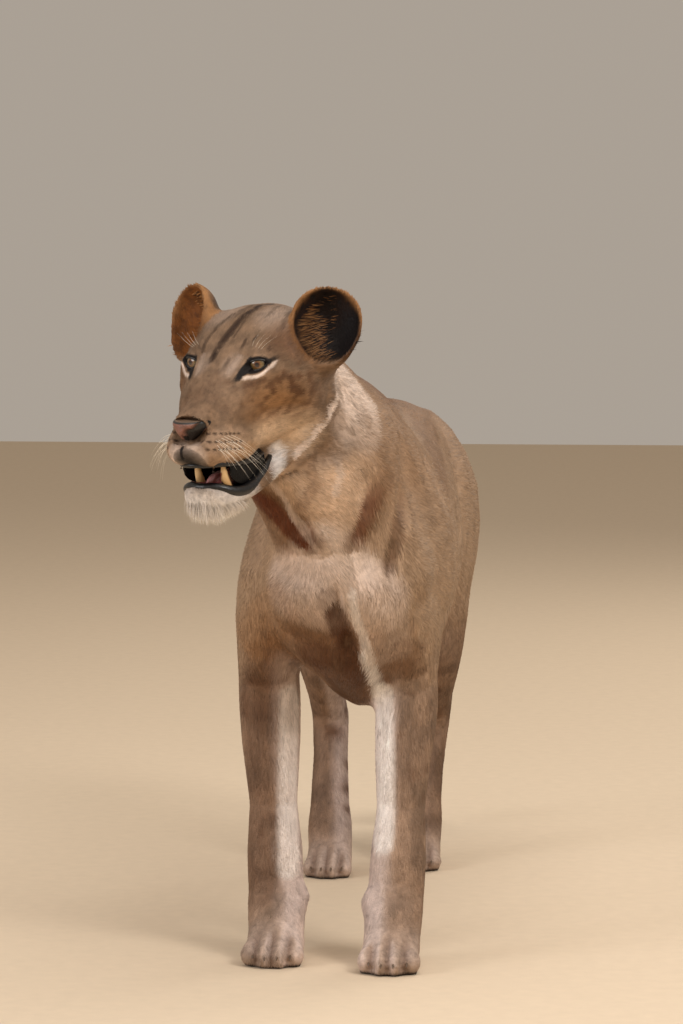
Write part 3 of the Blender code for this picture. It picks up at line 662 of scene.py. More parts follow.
# tone, strength, width and places of a stroke, in millimetres from the floor between the forefeet
BODY_STROKES = (
    (CREAM, 0.75, 70, ((5, -250, 690), (36, -220, 650))),
    (CHEST, 0.65, 70, ((-50, -210, 640), (80, -190, 610))),
    (CREAM, 0.40, 60, ((-5, -300, 830), (20, -280, 800))),
    (THROAT, 0.95, 90, ((-30, -310, 850), (30, -260, 800))),
    (CREAM, 0.85, 46, ((35, -230, 965), (58, -180, 910), (62, -200, 880))),
    (CREAM, 0.70, 45, ((31, -262, 897), (17, -284, 868))),
    # painted shade in the hollows where the throat runs into the chest, on the right and then the left: a
    # dark line with a rust-brown edge
    (RUST, 0.60, 30, ((-100, -230, 790), (-58, -251, 745), (-20, -243, 712))),
    (FURROW_SHADE, 0.95, 22, ((-98, -235, 780), (-58, -251, 738), (-26, -245, 714))),
    (RUST, 0.50, 26, ((90, -160, 800), (72, -196, 760), (50, -220, 706))),
    (FURROW_SHADE, 0.62, 17, ((80, -182, 782), (68, -200, 752), (54, -214, 720))),
    (CREAM, 0.45, 10, ((-80, -300, 812), (-66, -284, 788), (-43, -264, 751), (-8, -235, 700))),
    (CREAM, 0.50, 8, ((-3, -302, 862), (20, -275, 842), (28, -266, 818), (19, -266, 785))),
    (CREST_AND_SHADE, 0.35, 14, ((-20, -300, 850), (-12, -280, 800), (-30, -275, 770))),
    # painted shade down the groove of the chest
    (UMBER, 0.35, 24, ((6, -212, 622), (24, -190, 572))),
    (UMBER, 0.90, 22, ((16, -200, 596), (33, -150, 525), (44, -53, 466))),
    # painted shade under the chest, between the forelegs
    (UMBER, 0.80, 45, ((-20, -155, 510), (20, -120, 495), (16, -50, 455), (30, 50, 440))),
    (WHITE, 0.45, 12, ((40, -208, 630), (54, -184, 568), (64, -130, 515), (72, -18, 458))),
    (WHITE, 0.35, 10, ((55, -130, 515), (66, -18, 458), (78, 7, 420))),
    # painted shade in the groove at the front edge of the left shoulder
    (UMBER, 0.55, 16, ((122, -100, 765), (113, -129, 731), (100, -166, 660))),
    # soft dark bands along both upper flanks: partly the dark fur at the edges of the back, partly painted
    # shade behind the shoulders
    (CREST_AND_SHADE, 0.36, 44, ((55, 990, 850), (107, 629, 816), (137, 402, 789), (150, 300, 770))),
    (CREST_AND_SHADE, 0.36, 44, ((-40, 990, 850), (-60, 629, 816), (-80, 402, 789), (-80, 300, 770))),
    # painted shade in the right armpit
    (CHEEK, 0.35, 55, ((-80, -180, 600), (-120, -70, 540))),
    (CREAM, 0.30, 50, ((92, -160, 580), (100, -120, 520))),
    (WHITE, 0.60, 24, ((78, 5, 440), (81, -10, 330), (80, -30, 200))),
    (WHITE, 0.50, 24, ((-75, 20, 430), (-78, 10, 150))),
    (UMBER, 0.40, 40, ((-120, -30, 470), (-130, 0, 420))),
    (UMBER, 0.45, 44, ((-125, -10, 440), (-125, 0, 120))),
    (BACK, 0.50, 50, ((75, -215, 880), (85, -190, 820))),
)
# height, place along the body and size in millimetres of the dark spots on the inner sides of the hind legs
HIND_SPOTS = (
    (335, 900, 18), (285, 945, 14), (250, 920, 18), (215, 955, 13),
    (190, 925, 15), (150, 900, 16), (115, 880, 13), (380, 860, 20),
)


def paint_body(colours, body, normals):
    """Back, flanks, chest, belly, legs and tail, with painted shade in the hollows of the throat, down the
    groove of the chest, under the chest, at the front of the left shoulder, behind the shoulders, in the
    right armpit and between the toes.
    """
    x, y, z = body.T
    outward = normals[:, 0] * np.sign(x - spine_x(y))
    paint(colours, 0.85 * ramp(z, 0.62, 0.84), BACK)
    shift = 0.030 * (1 - ramp(y, 0.10, 0.35))
    crest = np.exp(-(((x - spine_x(y) - shift) / 0.036) ** 2))
    crest = crest * ramp(normals[:, 2], -0.1, 0.4) * ramp(z, 0.70, 0.80)
    paint(colours, 0.90 * crest * (0.55 + 0.6 * noise(body, 0.03)), CREST_AND_SHADE)
    under = ramp(-normals[:, 2], 0.15, 0.75) * ramp(z, 0.36, 0.42)
    paint(colours, 0.85 * under * ramp(y, 0.02, 0.25), CREAM)
    # painted shade on the front of the chest where it faces down
    paint(colours, 0.80 * under * (1 - ramp(y, -0.02, 0.16)), CREST_AND_SHADE)
    legs = 1 - ramp(z, 0.38, 0.56)
    inner = ramp(-outward, -0.10, 0.55)
    paint(colours, 0.85 * legs * (1 - inner), GREY_LEG)
    paint(colours, 0.60 * legs * (1 - inner) * ramp(noise(body + 7, 0.030), 0.40, 0.72), GREY_LEG * 0.5)
    paint(colours, 0.92 * legs * inner, PALE_LEG * 0.86)
    paint(colours, 0.30 * legs * ramp(y, 0.50, 0.70), UMBER)
    rough = 0.75 + 0.5 * noise(body + 2, 0.02)
    flatter = np.array((1, 0.6, 1))
    for with_tone, strength, width, places in BODY_STROKES:
        line = ramp(trail(body * flatter, np.array(places) / 1000 * flatter, width / 1000), 0.0, 0.8)
        paint(colours, strength * rough * line, with_tone)
    for height, along, size in np.array(HIND_SPOTS) / 1000:
        spot = near(np.column_stack((y, z)), (along, height), (size * 1.2, size)) ** 0.7
        paint(colours, 0.85 * spot * ramp(-outward, -0.6, 0.2), UMBER)
    blots = ramp(noise(body, 0.021), 0.68, 0.80) * ramp(noise(body + 5, 0.07), 0.40, 0.60)
    paint(colours, 0.40 * blots * (1 - ramp(z, 0.50, 0.62)) * ramp(z, 0.12, 0.20), UMBER)
    paint(colours, 0.5 * (1 - ramp(z, 0.02, 0.09)), CHEST)
    # painted shade in the grooves between the toes
    paint(colours, 0.6 * toe_grooves(body + np.array(FEET)), UMBER)
    paint(colours, 1 - ramp(z, 0.003, 0.008), SOOT)
    paint(colours, ramp(y, 1.27, 1.31) * (1 - ramp(z, 0.19, 0.22)), SOOT)


# strength, width and places of the dark lines of the brow, by x (left is positive) and y
BROW_LINES = (
    (0.95, 0.0060, (
        (0.006, 0.120), (0.0016, 0.071), (-0.002, 0.047), (-0.007, 0.016), (-0.0095, -0.017),
        (-0.0105, -0.030),
    )),
    (0.60, 0.0035, ((-0.013, 0.095), (-0.018, 0.064), (-0.034, 0.027), (-0.034, -0.012))),
    (0.45, 0.0030, ((0.012, 0.120), (0.008, 0.080), (0.0060, 0.040), (0.0040, 0.010))),
    (0.50, 0.0030, ((-0.006, 0.115), (-0.010, 0.080), (-0.014, 0.050))),
    (0.45, 0.0030, ((0.024, 0.120), (0.028, 0.090), (0.034, 0.060))),
    (0.45, 0.0040, ((0.050, 0.105), (0.056, 0.080), (0.062, 0.050))),
    (0.75, 0.0032, ((0.0280, 0.002), (0.0285, -0.008))),
    (0.75, 0.0030, ((0.0395, 0.012), (0.0400, 0.004))),
    (0.60, 0.0026, ((0.0620, 0.011), (0.0630, 0.006))),
    (0.55, 0.0040, ((0.0160, -0.030), (0.0150, -0.050))),
)

# side ("head" for both), tone, strength, softness, place and reach in millimetres, and speckle:
# its shift and size, and where it starts and is full
FACE_PATCHES = (
    ("head", CREAM * 0.75, 0.30, 0.6, (40, 70, 55), (35, 50, 50), None),
    ("head", UMBER * 1.3, 0.60, 0.6, (82, 70, 20), (30, 50, 40), None),
    ("left", UMBER * 1.1, 0.60, 0.5, (68, 45, 34), (34, 55, 36), None),
    ("head", UMBER, 0.40, 0.5, (30, -40, -30), (45, 75, 50), (8, 0.011, 0.45, 0.75)),
    ("head", BRIDGE, 0.90, 0.6, (0, -75, -35), (36, 80, 36), None),
    ("head", CREAM * 0.8, 0.20, 0.7, (22, -30, 4), (18, 40, 24), None),
    ("head", CHEEK, 0.90, 0.6, (76, 5, -50), (50, 90, 50), None),
    ("head", JOWL, 0.95, 0.6, (70, 30, -102), (60, 100, 50), None),
    ("head", UMBER, 0.85, 0.5, (82, 20, -36), (60, 95, 56), (0, 0.0085, 0.46, 0.72)),
    ("head", tone(192, 160, 132), 0.80, 0.5, (44, -92, -104), (36, 60, 36), None),
    ("head", tone(188, 142, 92), 0.55, 0.6, (54, -50, -118), (20, 34, 20), None),
    ("head", CREAM * 1.1, 0.90, 0.5, (12, -136, -112), (22, 30, 24), None),
)
MOUTH_CORNER = (
    (0.052, 0.040, -0.126), (0.052, 0.030, -0.150), (0.058, 0.018, -0.168), (0.060, 0.010, -0.190),
)
CHEEK_EDGE = ((0.106, 0.138, -0.040), (0.101, 0.108, -0.086), (0.069, 0.056, -0.138))
NOSE_WING = ((0.020, -0.138, -0.071), (0.030, -0.130, -0.063), (0.037, -0.118, -0.059))


def paint_head(colours, points):
    """Face, muzzle, chin, brow, cheeks and the back of the cheeks."""
    own = into(HEAD, points)
    head = both(own)
    jaw = both(into(JAW, points))
    throat = ramp(own[:, 1], 0.02, 0.06) * ramp(-own[:, 2], 0.140, 0.175)
    on_head = (1 - ramp(own[:, 1], 0.10, 0.19)) * (1 - throat)
    paint(colours, on_head, BROW)
    paint(colours, 0.55 * on_head * ramp(noise(own + 3, 0.014), 0.35, 0.75), BROW * 0.62)
    located = {"head": head, "left": own}
    for where, with_tone, strength, softness, place, reach, speckle in FACE_PATCHES:
        patch = near(located[where], np.array(place) / 1000, np.array(reach) / 1000) ** softness
        if speckle:
            shift, size, low, high = speckle
            patch = ramp(noise(own + shift, size), low, high) * patch
        paint(colours, strength * patch, with_tone)
    paint(colours, 0.85 * trail(head, MOUTH_CORNER, 0.016), WHITE)
    paint(colours, 0.95 * near(jaw, (0.0, -0.095, -0.160), (0.070, 0.085, 0.055)) ** 0.35, WHITE)
    for start, end in zip(((0.106, 0.134, -0.060), CHEEK_EDGE[1]), CHEEK_EDGE[1:]):
        paint(colours, 0.90 * streak(head, start, end, 0.0065) ** 0.5, CREAM * 1.2)
    above = ramp(own[:, 2], -0.010, 0.010)
    for strength, width, places in BROW_LINES:
        line = trail(own[:, :2], places, width) ** 0.45
        paint(colours, strength * above * line * ramp(noise(own, 0.006), 0.0, 0.35), UMBER * 0.3)
    spots = np.zeros(len(own))
    for row in range(len(WHISKER_HEIGHTS)):
        for spot in range(9):
            y, z = whisker_spot(row, spot)
            spots = np.maximum(spots, near(head[:, 1:], (y, z), (0.0034, 0.0024)) ** 0.3)
    paint(colours, 0.95 * spots * ramp(head[:, 0], 0.006, 0.012), UMBER * 0.3)
    paint(colours, trail(head, NOSE_WING, 0.0065) ** 0.5, SOOT)
    paint(colours, mouth_edge(points), SOOT)
    paint(colours, near(own, (0.004, -0.142, -0.122), (0.025, 0.044, 0.0270)) ** 0.15, SOOT * 0.5)
    split_lip = streak(head, (0, -0.150, -0.088), (0, -0.142, -0.136), 0.0060) ** 0.5
    paint(colours, split_lip * (head[:, 0] < 0.0022), SOOT)


# tone, strength, softness, width, start and end round an eye; the last is laid over the pale stripe
EYE_STROKES = (
    (CREAM, 0.15, 1, 0.0060, (-0.026, 0.010, 0), (-0.040, -0.012, 0)),
    (SOOT, 0.85, 0.6, 0.0040, (-0.0190, -0.006, 0), (-0.0330, -0.024, 0)),
    (UMBER, 0.60, 0.7, 0.0050, (-0.0330, -0.024, 0), (-0.0350, -0.050, 0)),
    (UMBER, 0.60, 1, 0.0060, (-0.014, -0.026, 0), (0.010, -0.022, 0)),
    (SOOT, 0.90, 0.6, 0.0042, (0.0150, 0.0035, 0), (0.0270, 0.0085, 0)),
)


def paint_eye_stroke(colours, flat, close, with_tone, strength, softness, width, start, end):
    paint(colours, strength * close * streak(flat, start, end, width) ** softness, with_tone)


def paint_eyes(colours, points):
    """Black lids with a tear line, and the pale strokes under and over them."""
    for side in SIDES.values():
        local = eye_place(points, side)
        close = ramp(local[:, 2], -0.002, 0.004) * (1 - ramp(np.linalg.norm(local, axis=1), 0.055, 0.068))
        gap = almond(local)
        x, y = local[:, 0], local[:, 1]
        flat = local * np.array((1, 1, 0))
        below = ramp(LID_SLANT * x - y, -0.001, 0.002) * ramp(x, -0.022, -0.014)
        for stroke in EYE_STROKES[:-1]:
            paint_eye_stroke(colours, flat, close, *stroke)
        stripe = ramp(gap, 0.0046, 0.0058) * (1 - ramp(gap, 0.0086, 0.0118))
        paint(colours, 0.85 * close * stripe * below, CREAM)
        paint_eye_stroke(colours, flat, close, *EYE_STROKES[-1])
        heavy = 1 - 0.35 * below
        inner = 1 + 0.8 * ramp(-x, 0.004, 0.016) * (1 - below)
        paint(colours, close * (1 - ramp(gap / (heavy * inner), 0.0042, 0.0060)), SOOT)


def paint_ears(colours, points, normals):
    for side in SIDES.values():
        local, share, belongs = ear_zone(points, side)
        turn = axes_of(ear_frame(side))
        forward = -(normals @ turn)[:, 1]
        inside = belongs * ramp(0.93 - share, -0.02, 0.06) * ramp(forward, -0.5, 0.1)
        rim = belongs * ramp(-local[:, 1], -0.006, 0.012) * ramp(share, 0.80, 0.92)
        paint(colours, belongs, CHEEK)
        paint(colours, 0.85 * belongs * ramp(-forward, 0.1, 0.6) * (1 - ramp(local[:, 2], 0.02, 0.05)), SOOT)
        across = local[:, 0] * side
        # painted light and shade inside the ears: the right ear's hollow, where light falls in, lit
        # orange-brown with a few dark streaks; the left ear's hollow in painted shade, near black, blackest
        # in its deep part
        deep_shade = ramp(across - 1.1 * local[:, 2], -0.004, 0.030)
        lit = side < 0
        paint(colours, inside, tone(126, 76, 34) if lit else tone(34, 21, 14))
        blots = ramp(noise(points, 0.008), 0.55, 0.72)
        paint(colours, inside * (0.35 * blots if lit else np.maximum(deep_shade, blots)), SOOT)
        paint(colours, 0.85 * rim, RUST * 0.8)


def coat_colours(points, normals):
    """The animal's coat pattern, with painted light and shade in the ears and painted shade in the hollows,
    grooves and under the chest, as a formula of the place.
    """
    body = from_feet(points)
    colours = np.tile(FLANK, (len(points), 1))
    paint_body(colours, body, normals)
    own = into(HEAD, points)
    behind = near(both(own), (0.120, 0.165, -0.045), (0.060, 0.060, 0.110)) ** 0.5
    paint(colours, 0.60 * behind, CREAM)
    paint_head(colours, points)
    paint_ears(colours, points, normals)
    paint_eyes(colours, points)
    patches = noise(points, 0.045) - 0.5
    grain = noise(points, 0.0045) - 0.5
    speck = ramp(noise(points + 4, 0.0028), 0.62, 0.90)
    colours *= (1 + 0.16 * patches + 0.42 * grain - 0.25 * speck)[:, None]
    mouth = in_mouth(points)
    paint(colours, mouth, LINING)
    paint(colours, nose_pad(points) * (into(HEAD, points)[:, 2] < -0.060), UMBER * 0.6)
    return np.clip(colours, 0.002, 0.95)


# The lie of the coat ------------------------------------------------------------------------------

SHORTER_ON_LEGS = 0.007  # hair, in metres
SHORTER_ON_FEET = 0.0045
NOSE_HAIR = 0.0042
LONGER_ON_CHEEKS = 0.0060
EAR_HAIR = 0.0048


def coat_lie(points, normals):
    """The way that the hairs point: back from the nose, along the body, and down the legs."""
    body = from_feet(points)
    own = into(HEAD, points)
    turn = axes_of(HEAD)
    from_nose = own - (0, -0.165, -0.075)
    from_nose[:, 1] += 0.03
    face = from_nose @ turn.T
    face = unit(face)
    z = body[:, 2]
    back = np.tile((0.0, 1.0, -0.30), (len(points), 1))
    down = np.tile((0.0, 0.18, -1.0), (len(points), 1))
    front = ramp(-normals[:, 1], 0.2, 0.8) * (1 - ramp(body[:, 1], -0.05, 0.10))
    low = np.maximum(1 - ramp(z, 0.42, 0.62), 0.9 * front)
    low = np.maximum(low, ramp(body[:, 1], 1.12, 1.18) * (1 - ramp(body[:, 1], 1.26, 1.30)))
    flow = back + (down - back) * low[:, None]
    on_head = (1 - ramp(own[:, 1], 0.10, 0.20))[:, None]
    flow = flow + (face - flow) * on_head
    for side in SIDES.values():
        belongs = ear_zone(points, side)[2]
        up = axes_of(ear_frame(side)) @ np.array((0.25 * side, 0, 1.0))
        flow = flow + (up - flow) * belongs[:, None]
    flow += (0.22 * (noise(points + 9, 0.03) - 0.5))[:, None] * np.cross(normals, flow)
    flow -= (flow * normals).sum(axis=1)[:, None] * normals
    return flow / np.maximum(np.linalg.norm(flow, axis=1), 1e-6)[:, None]


def coat_length(points):
    """The length of the hair, in metres."""
    body = from_feet(points)
    own = into(HEAD, points)
    length = settings().length - SHORTER_ON_LEGS * (1 - ramp(body[:, 2], 0.30, 0.55))
    length = length - SHORTER_ON_FEET * (1 - ramp(body[:, 2], 0.04, 0.14))
    face = NOSE_HAIR + LONGER_ON_CHEEKS * ramp(own[:, 1], -0.07, 0.06)
    on_head = 1 - ramp(own[:, 1], 0.10, 0.20)
    length = length + (face - length) * on_head
    for side in SIDES.values():
        length = length + (EAR_HAIR - length) * ear_zone(points, side)[2]
    return length * (0.35 + 0.65 * ramp(lid_gap(points), 0.003, 0.012))


def bare(points):
    """Where no hair grows: the eyes' openings, the nose, the mouth and the soles."""
    body = from_feet(points)
    inner_ear = np.zeros(len(points))
    for side in SIDES.values():
        share, belongs = ear_zone(points, side)[1:]
        inner_ear = np.maximum(inner_ear, belongs * (share < 0.80) * (noise(points, 0.004) < 0.3))
    return (
        (lid_gap(points) < 0.0036) | (nose_pad(points) > 0.5) | (in_mouth(points) > 0.5)
        | (body[:, 2] < 0.005) | (inner_ear > 0.5)
    )


# Tufts --------------------------------------------------------------------------------------------


def corners_of(mesh):
    """The corners of the triangles, and the skin's normals there."""
    mesh.calc_loop_triangles()
    index = np.empty(len(mesh.loop_triangles) * 3, np.int32)
    mesh.loop_triangles.foreach_get("vertices", index)
    index = index.reshape(-1, 3)
    return points_of(mesh)[index], normals_of(mesh)[index]


def scatter(mesh, density, rng):
    """Random places on the skin, as close together as the density asks, with the skin's normals."""
    corners, normals = corners_of(mesh)
    middles = corners.mean(axis=1)
    area = np.linalg.norm(np.cross(corners[:, 1] - corners[:, 0], corners[:, 2] - corners[:, 0]), axis=1) / 2
    want = area * density(middles)
    index = np.repeat(np.arange(len(area)), np.floor(want + rng.random(len(area))).astype(int))
    share = rng.random((len(index), 2))
    share = np.where(share.sum(axis=1)[:, None] > 1, 1 - share, share)
    weights = np.column_stack((1 - share.sum(axis=1), share))[:, :, None]
    places = (corners[index] * weights).sum(axis=1)
    facing = (normals[index] * weights).sum(axis=1)
    return places, unit(facing)


LEGS_MIDDLE = 0.012  # how far the middle between the legs lies to the left
TAIL_START = 1.14
TUFT_PATCH = 0.0028  # the size of a tuft on the flat pattern
TUFT_GAP = 0.0003  # the least height of a tuft over the floor
ROOT_SUNK = 0.0006  # how far the roots go into the skin


def around(across, up):
    """The share of a full turn, from 0 to 1."""
    return np.arctan2(across, up) / (2 * math.pi) + 0.5


def chart(turn, along, width, left=0.02, low=0.02):
    """A rectangle of the flat pattern: a turn from 0 to 1 across it and a length from 0 to 1 up it."""
    return np.column_stack((left + width * turn, low + 0.46 * np.clip(along, 0, 1)))


def unwrap(points):
    """Each place on a flat pattern of the skin: the body's lengths rolled out side by side."""
    body = from_feet(points)
    own = into(HEAD, points)
    x, y, z = body.T
    charts = chart(around(x - spine_x(y), z - 0.66), (y + 0.35) / 1.6, 0.44)
    on_head = own[:, 1] < 0.15
    head_chart = chart(around(own[:, 0], own[:, 2] + 0.03), (own[:, 1] + 0.16) / 0.31, 0.44, 0.02, 0.52)
    charts[on_head] = head_chart[on_head]
    for n, (side, hind) in enumerate(((1, 0), (-1, 0), (1, 1), (-1, 1))):
        leg = (z < 0.50) & ((x - LEGS_MIDDLE) * side > 0) & ((y > 0.45) == bool(hind)) & (y < TAIL_START)
        centre_y = np.interp(z, (0, 0.28, 0.5), (0.92, 1.0, 0.87)) if hind else 0.0
        turn = around(x - LEGS_MIDDLE - 0.10 * side, y - centre_y)
        leg_chart = np.column_stack((0.50 + 0.12 * (n + turn * 0.9), 0.02 + 0.46 * z / 0.5))
        charts[leg] = leg_chart[leg]
    tail = y >= TAIL_START
    charts[tail] = chart(around(x - 0.03, y - 1.24), z / 0.9, 0.20, 0.52, 0.52)[tail]
    return charts


def prisms(name, sections, normals, colours, charts):
    """Closed tufts: each is a run of three-cornered sections that ends in a tip.

    sections is tufts x sections x 3 x XYZ, then the tips; normals and colours are per point."""
    rings, tips = sections
    count, depth = rings.shape[:2]
    per = depth * 3 + 1
    points = np.concatenate((rings.reshape(count, depth * 3, 3), tips[:, None]), axis=1)
    points[..., 2] = np.maximum(points[..., 2], FEET.z + TUFT_GAP)
    shape = [(0, 1, 2)]
    for ring in range(depth - 1):
        a, b = ring * 3, ring * 3 + 3
        for k in range(3):
            n = (k + 1) % 3
            shape += [(a + k, b + k, b + n), (a + k, b + n, a + n)]
    last = (depth - 1) * 3
    shape += [(last + k, per - 1, last + (k + 1) % 3) for k in range(3)]
    faces = (np.arange(count)[:, None, None] * per + np.array(shape)[None]).reshape(-1, 3)
    mesh = bpy.data.meshes.new(name)
    mesh.vertices.add(count * per)
    mesh.vertices.foreach_set("co", points.astype(np.float32).ravel())
    mesh.loops.add(len(faces) * 3)
    mesh.loops.foreach_set("vertex_index", faces.astype(np.int32).ravel())
    mesh.polygons.add(len(faces))
    mesh.polygons.foreach_set("loop_start", np.arange(0, len(faces) * 3, 3, dtype=np.int32))
    mesh.update(calc_edges=True)
    smooth_shaded(mesh)
    tint(mesh, colours.reshape(-1, 3))
    spread = np.zeros((per, 2))
    spread[:-1, 0] = np.tile((-TUFT_PATCH / 2, 0.0, TUFT_PATCH / 2), depth)
    spread[:-1, 1] = np.repeat(np.arange(depth) * TUFT_PATCH / depth, 3)
    spread[-1, 1] = TUFT_PATCH
    uv = (charts[:, None] + spread[None]).reshape(-1, 2)
    layer = mesh.uv_layers.new(name="OFBake")
    layer.uv.foreach_set("vector", uv[faces.ravel()].astype(np.float32).ravel())
    mesh.normals_split_custom_set_from_vertices(normals.reshape(-1, 3))
    return linked(name, mesh)


def tuft_colours(places, facing, depth, rng, dark=0.86, light=1.08):
    """Painted shade along each tuft, darkest at the root where the hairs shade each other and a little
    lighter at the tip, and each tuft a little unlike the next.
    """
    base = coat_colours(places, facing) * (0.90 + 0.20 * rng.random(len(places)))[:, None]
    rise = np.append(np.repeat(np.linspace(dark, 1.0, depth), 3), light)
    return np.clip(base[:, None] * rise[None, :, None], 0, 1)


def tufts(name, places, facing, rng, width, length, lift, depth=1, droop=0.0, colours=None, lie=None):
    """Tufts that lie along the skin: a thin ridge each, that narrows to a tip."""
    count = len(places)
    flow = coat_lie(places, facing) if lie is None else lie
    flow = flow + (rng.random(count) - 0.5)[:, None] * 0.5 * np.cross(facing, flow)
    flow = unit(flow)
    across = np.cross(facing, flow)
    length = length * (0.75 + 0.5 * rng.random(count))
    width = width * (0.75 + 0.5 * rng.random(count))
    rise = lift * (0.6 + 0.8 * rng.random(count))
    rings = np.empty((count, depth, 3, 3))
    for ring in range(depth):
        share = ring / depth
        along = flow * (share * length)[:, None] + facing * (rise * length * share ** 0.8)[:, None]
        along[:, 2] -= droop * length * share ** 2
        half = width * (0.5 - 0.15 * share)
        base = places + along - facing * (ROOT_SUNK if ring == 0 else 0)
        rings[:, ring, 0] = base - across * half[:, None]
        rings[:, ring, 1] = base + facing * (width * 0.30)[:, None]
        rings[:, ring, 2] = base + across * half[:, None]
    tips = places + flow * length[:, None] + facing * (rise * length)[:, None]
    tips[:, 2] -= droop * length
    lean = (rng.random(count) - 0.5)[:, None]
    shading = facing + 0.5 * lean * across + 0.15 * flow
    sides = np.array((-0.35, 0.0, 0.35))
    ring_normals = shading[:, None, None] + sides[None, None, :, None] * across[:, None, None]
    ring_normals = np.broadcast_to(ring_normals, (count, depth, 3, 3)).reshape(count, depth * 3, 3)
    tip_normals = (shading + 0.25 * flow)[:, None]
    normals = np.concatenate((ring_normals, tip_normals), axis=1)
    normals /= np.linalg.norm(normals, axis=2)[:, :, None]
    tones = tuft_colours(places, facing, depth, rng) if colours is None else colours
    return prisms(name, (rings, tips), normals, tones, unwrap(places))


# Materials ----------------------------------------------------------------------------------------


def node_group(name, inputs, outputs):
    """An empty shader group with named inputs and outputs."""
    made = bpy.data.node_groups.new(name, "ShaderNodeTree")
    for label, kind, value in inputs:
        socket = made.interface.new_socket(label, in_out="INPUT", socket_type=kind)
        socket.default_value = value
    for label, kind in outputs:
        made.interface.new_socket(label, in_out="OUTPUT", socket_type=kind)
    return made


def node(tree, kind, inputs=(), **values):
    """A shader node with its own values; each input has a value or the socket that feeds it."""
    made = tree.nodes.new("ShaderNode" + kind)
    for key, value in values.items():
        setattr(made, key, value)
    for key, value in dict(inputs).items():
        if isinstance(value, bpy.types.NodeSocket):
            tree.links.new(value, made.inputs[key])
        else:
            made.inputs[key].default_value = value
    return made


def multiplied(tree, one, other):
    """The product of two colours, as a socket."""
    mix = node(tree, "Mix", data_type="RGBA", blend_type="MULTIPLY")
    mix.inputs[0].default_value = 1.0
    tree.links.new(one, mix.inputs[6])
    tree.links.new(other, mix.inputs[7])
    return mix.outputs[2]


def material_shader(name, roughness, gloss, gloss_roughness):
    """A new material, and its shader."""
    made = bpy.data.materials.new(name)
    made.use_nodes = True
    shader = made.node_tree.nodes["Principled BSDF"]
    shader.inputs["Roughness"].default_value = roughness
    shader.inputs["Coat Weight"].default_value = gloss
    shader.inputs["Coat Roughness"].default_value = gloss_roughness
    return made, shader


def grain_group():
    """Fine grain over a colour, with broader patches, and the height of the grain."""
    inputs = (
        ("Colour", "NodeSocketColor", (0.5, 0.5, 0.5, 1)),
        ("Fineness", "NodeSocketFloat", 600.0),
        ("Contrast", "NodeSocketFloat", 0.3),
    )
    made = node_group("grain", inputs, (("Colour", "NodeSocketColor"), ("Height", "NodeSocketFloat")))
    entry = made.nodes.new("NodeGroupInput").outputs
    out = made.nodes.new("NodeGroupOutput").inputs
    place = node(made, "TexCoord").outputs["Object"]
    fine = node(made, "TexNoise", {"Detail": 3, "Vector": place, "Scale": entry["Fineness"]}).outputs["Fac"]
    broad = node(made, "TexNoise", {"Scale": 34, "Detail": 4, "Vector": place}).outputs["Fac"]
    total = node(made, "Math", {0: fine, 1: broad}, operation="ADD").outputs[0]
    centred = node(made, "Math", {0: total, 1: 1.0}, operation="SUBTRACT").outputs[0]
    swing = node(made, "Math", {0: centred, 1: entry["Contrast"], 2: 1.0}, operation="MULTIPLY_ADD")
    made.links.new(multiplied(made, entry["Colour"], swing.outputs[0]), out["Colour"])
    made.links.new(fine, out["Height"])
    return made


def pebble_group():
    """The small round bumps of bare skin."""
    made = node_group("pebbles", (("Fineness", "NodeSocketFloat", 700.0),), (("Height", "NodeSocketFloat"),))
    entry, out = made.nodes.new("NodeGroupInput"), made.nodes.new("NodeGroupOutput")
    place = node(made, "TexCoord").outputs["Object"]
    cells = node(made, "TexVoronoi", {"Vector": place, "Scale": entry.outputs["Fineness"]})
    dome = node(made, "Math", {0: 1.0, 1: cells.outputs["Distance"]}, operation="SUBTRACT")
    made.links.new(dome.outputs[0], out.inputs["Height"])
    return made


# name: fineness and contrast of the grain, bump height in metres, pebbles per metre or 0,
# roughness, gloss of a wet coat, its roughness
FINISHES = {
    "skin": (420, 0.45, 0.0010, 0, 0.75, 0.0, 0.1),
    "fur": (900, 0.25, 0.0, 0, 0.62, 0.0, 0.1),
    "nose_leather": (300, 0.35, 0.0006, 620, 0.50, 0.25, 0.25),
    "wet_lip": (160, 0.60, 0.0012, 0, 0.45, 0.22, 0.14),
    "inner_lip": (300, 0.60, 0.0012, 0, 0.60, 0.0, 0.20),
    "ivory": (120, 0.30, 0.0002, 0, 0.30, 0.35, 0.12),
    "wet_tongue": (250, 0.35, 0.0006, 520, 0.45, 0.35, 0.25),
    "bristle": (60, 0.15, 0.0, 0, 0.45, 0.0, 0.1),
    "pale_floor": (40, 0.08, 0.0004, 0, 0.85, 0.0, 0.1),
    "horn": (240, 0.45, 0.0002, 0, 0.35, 0.2, 0.2),
}


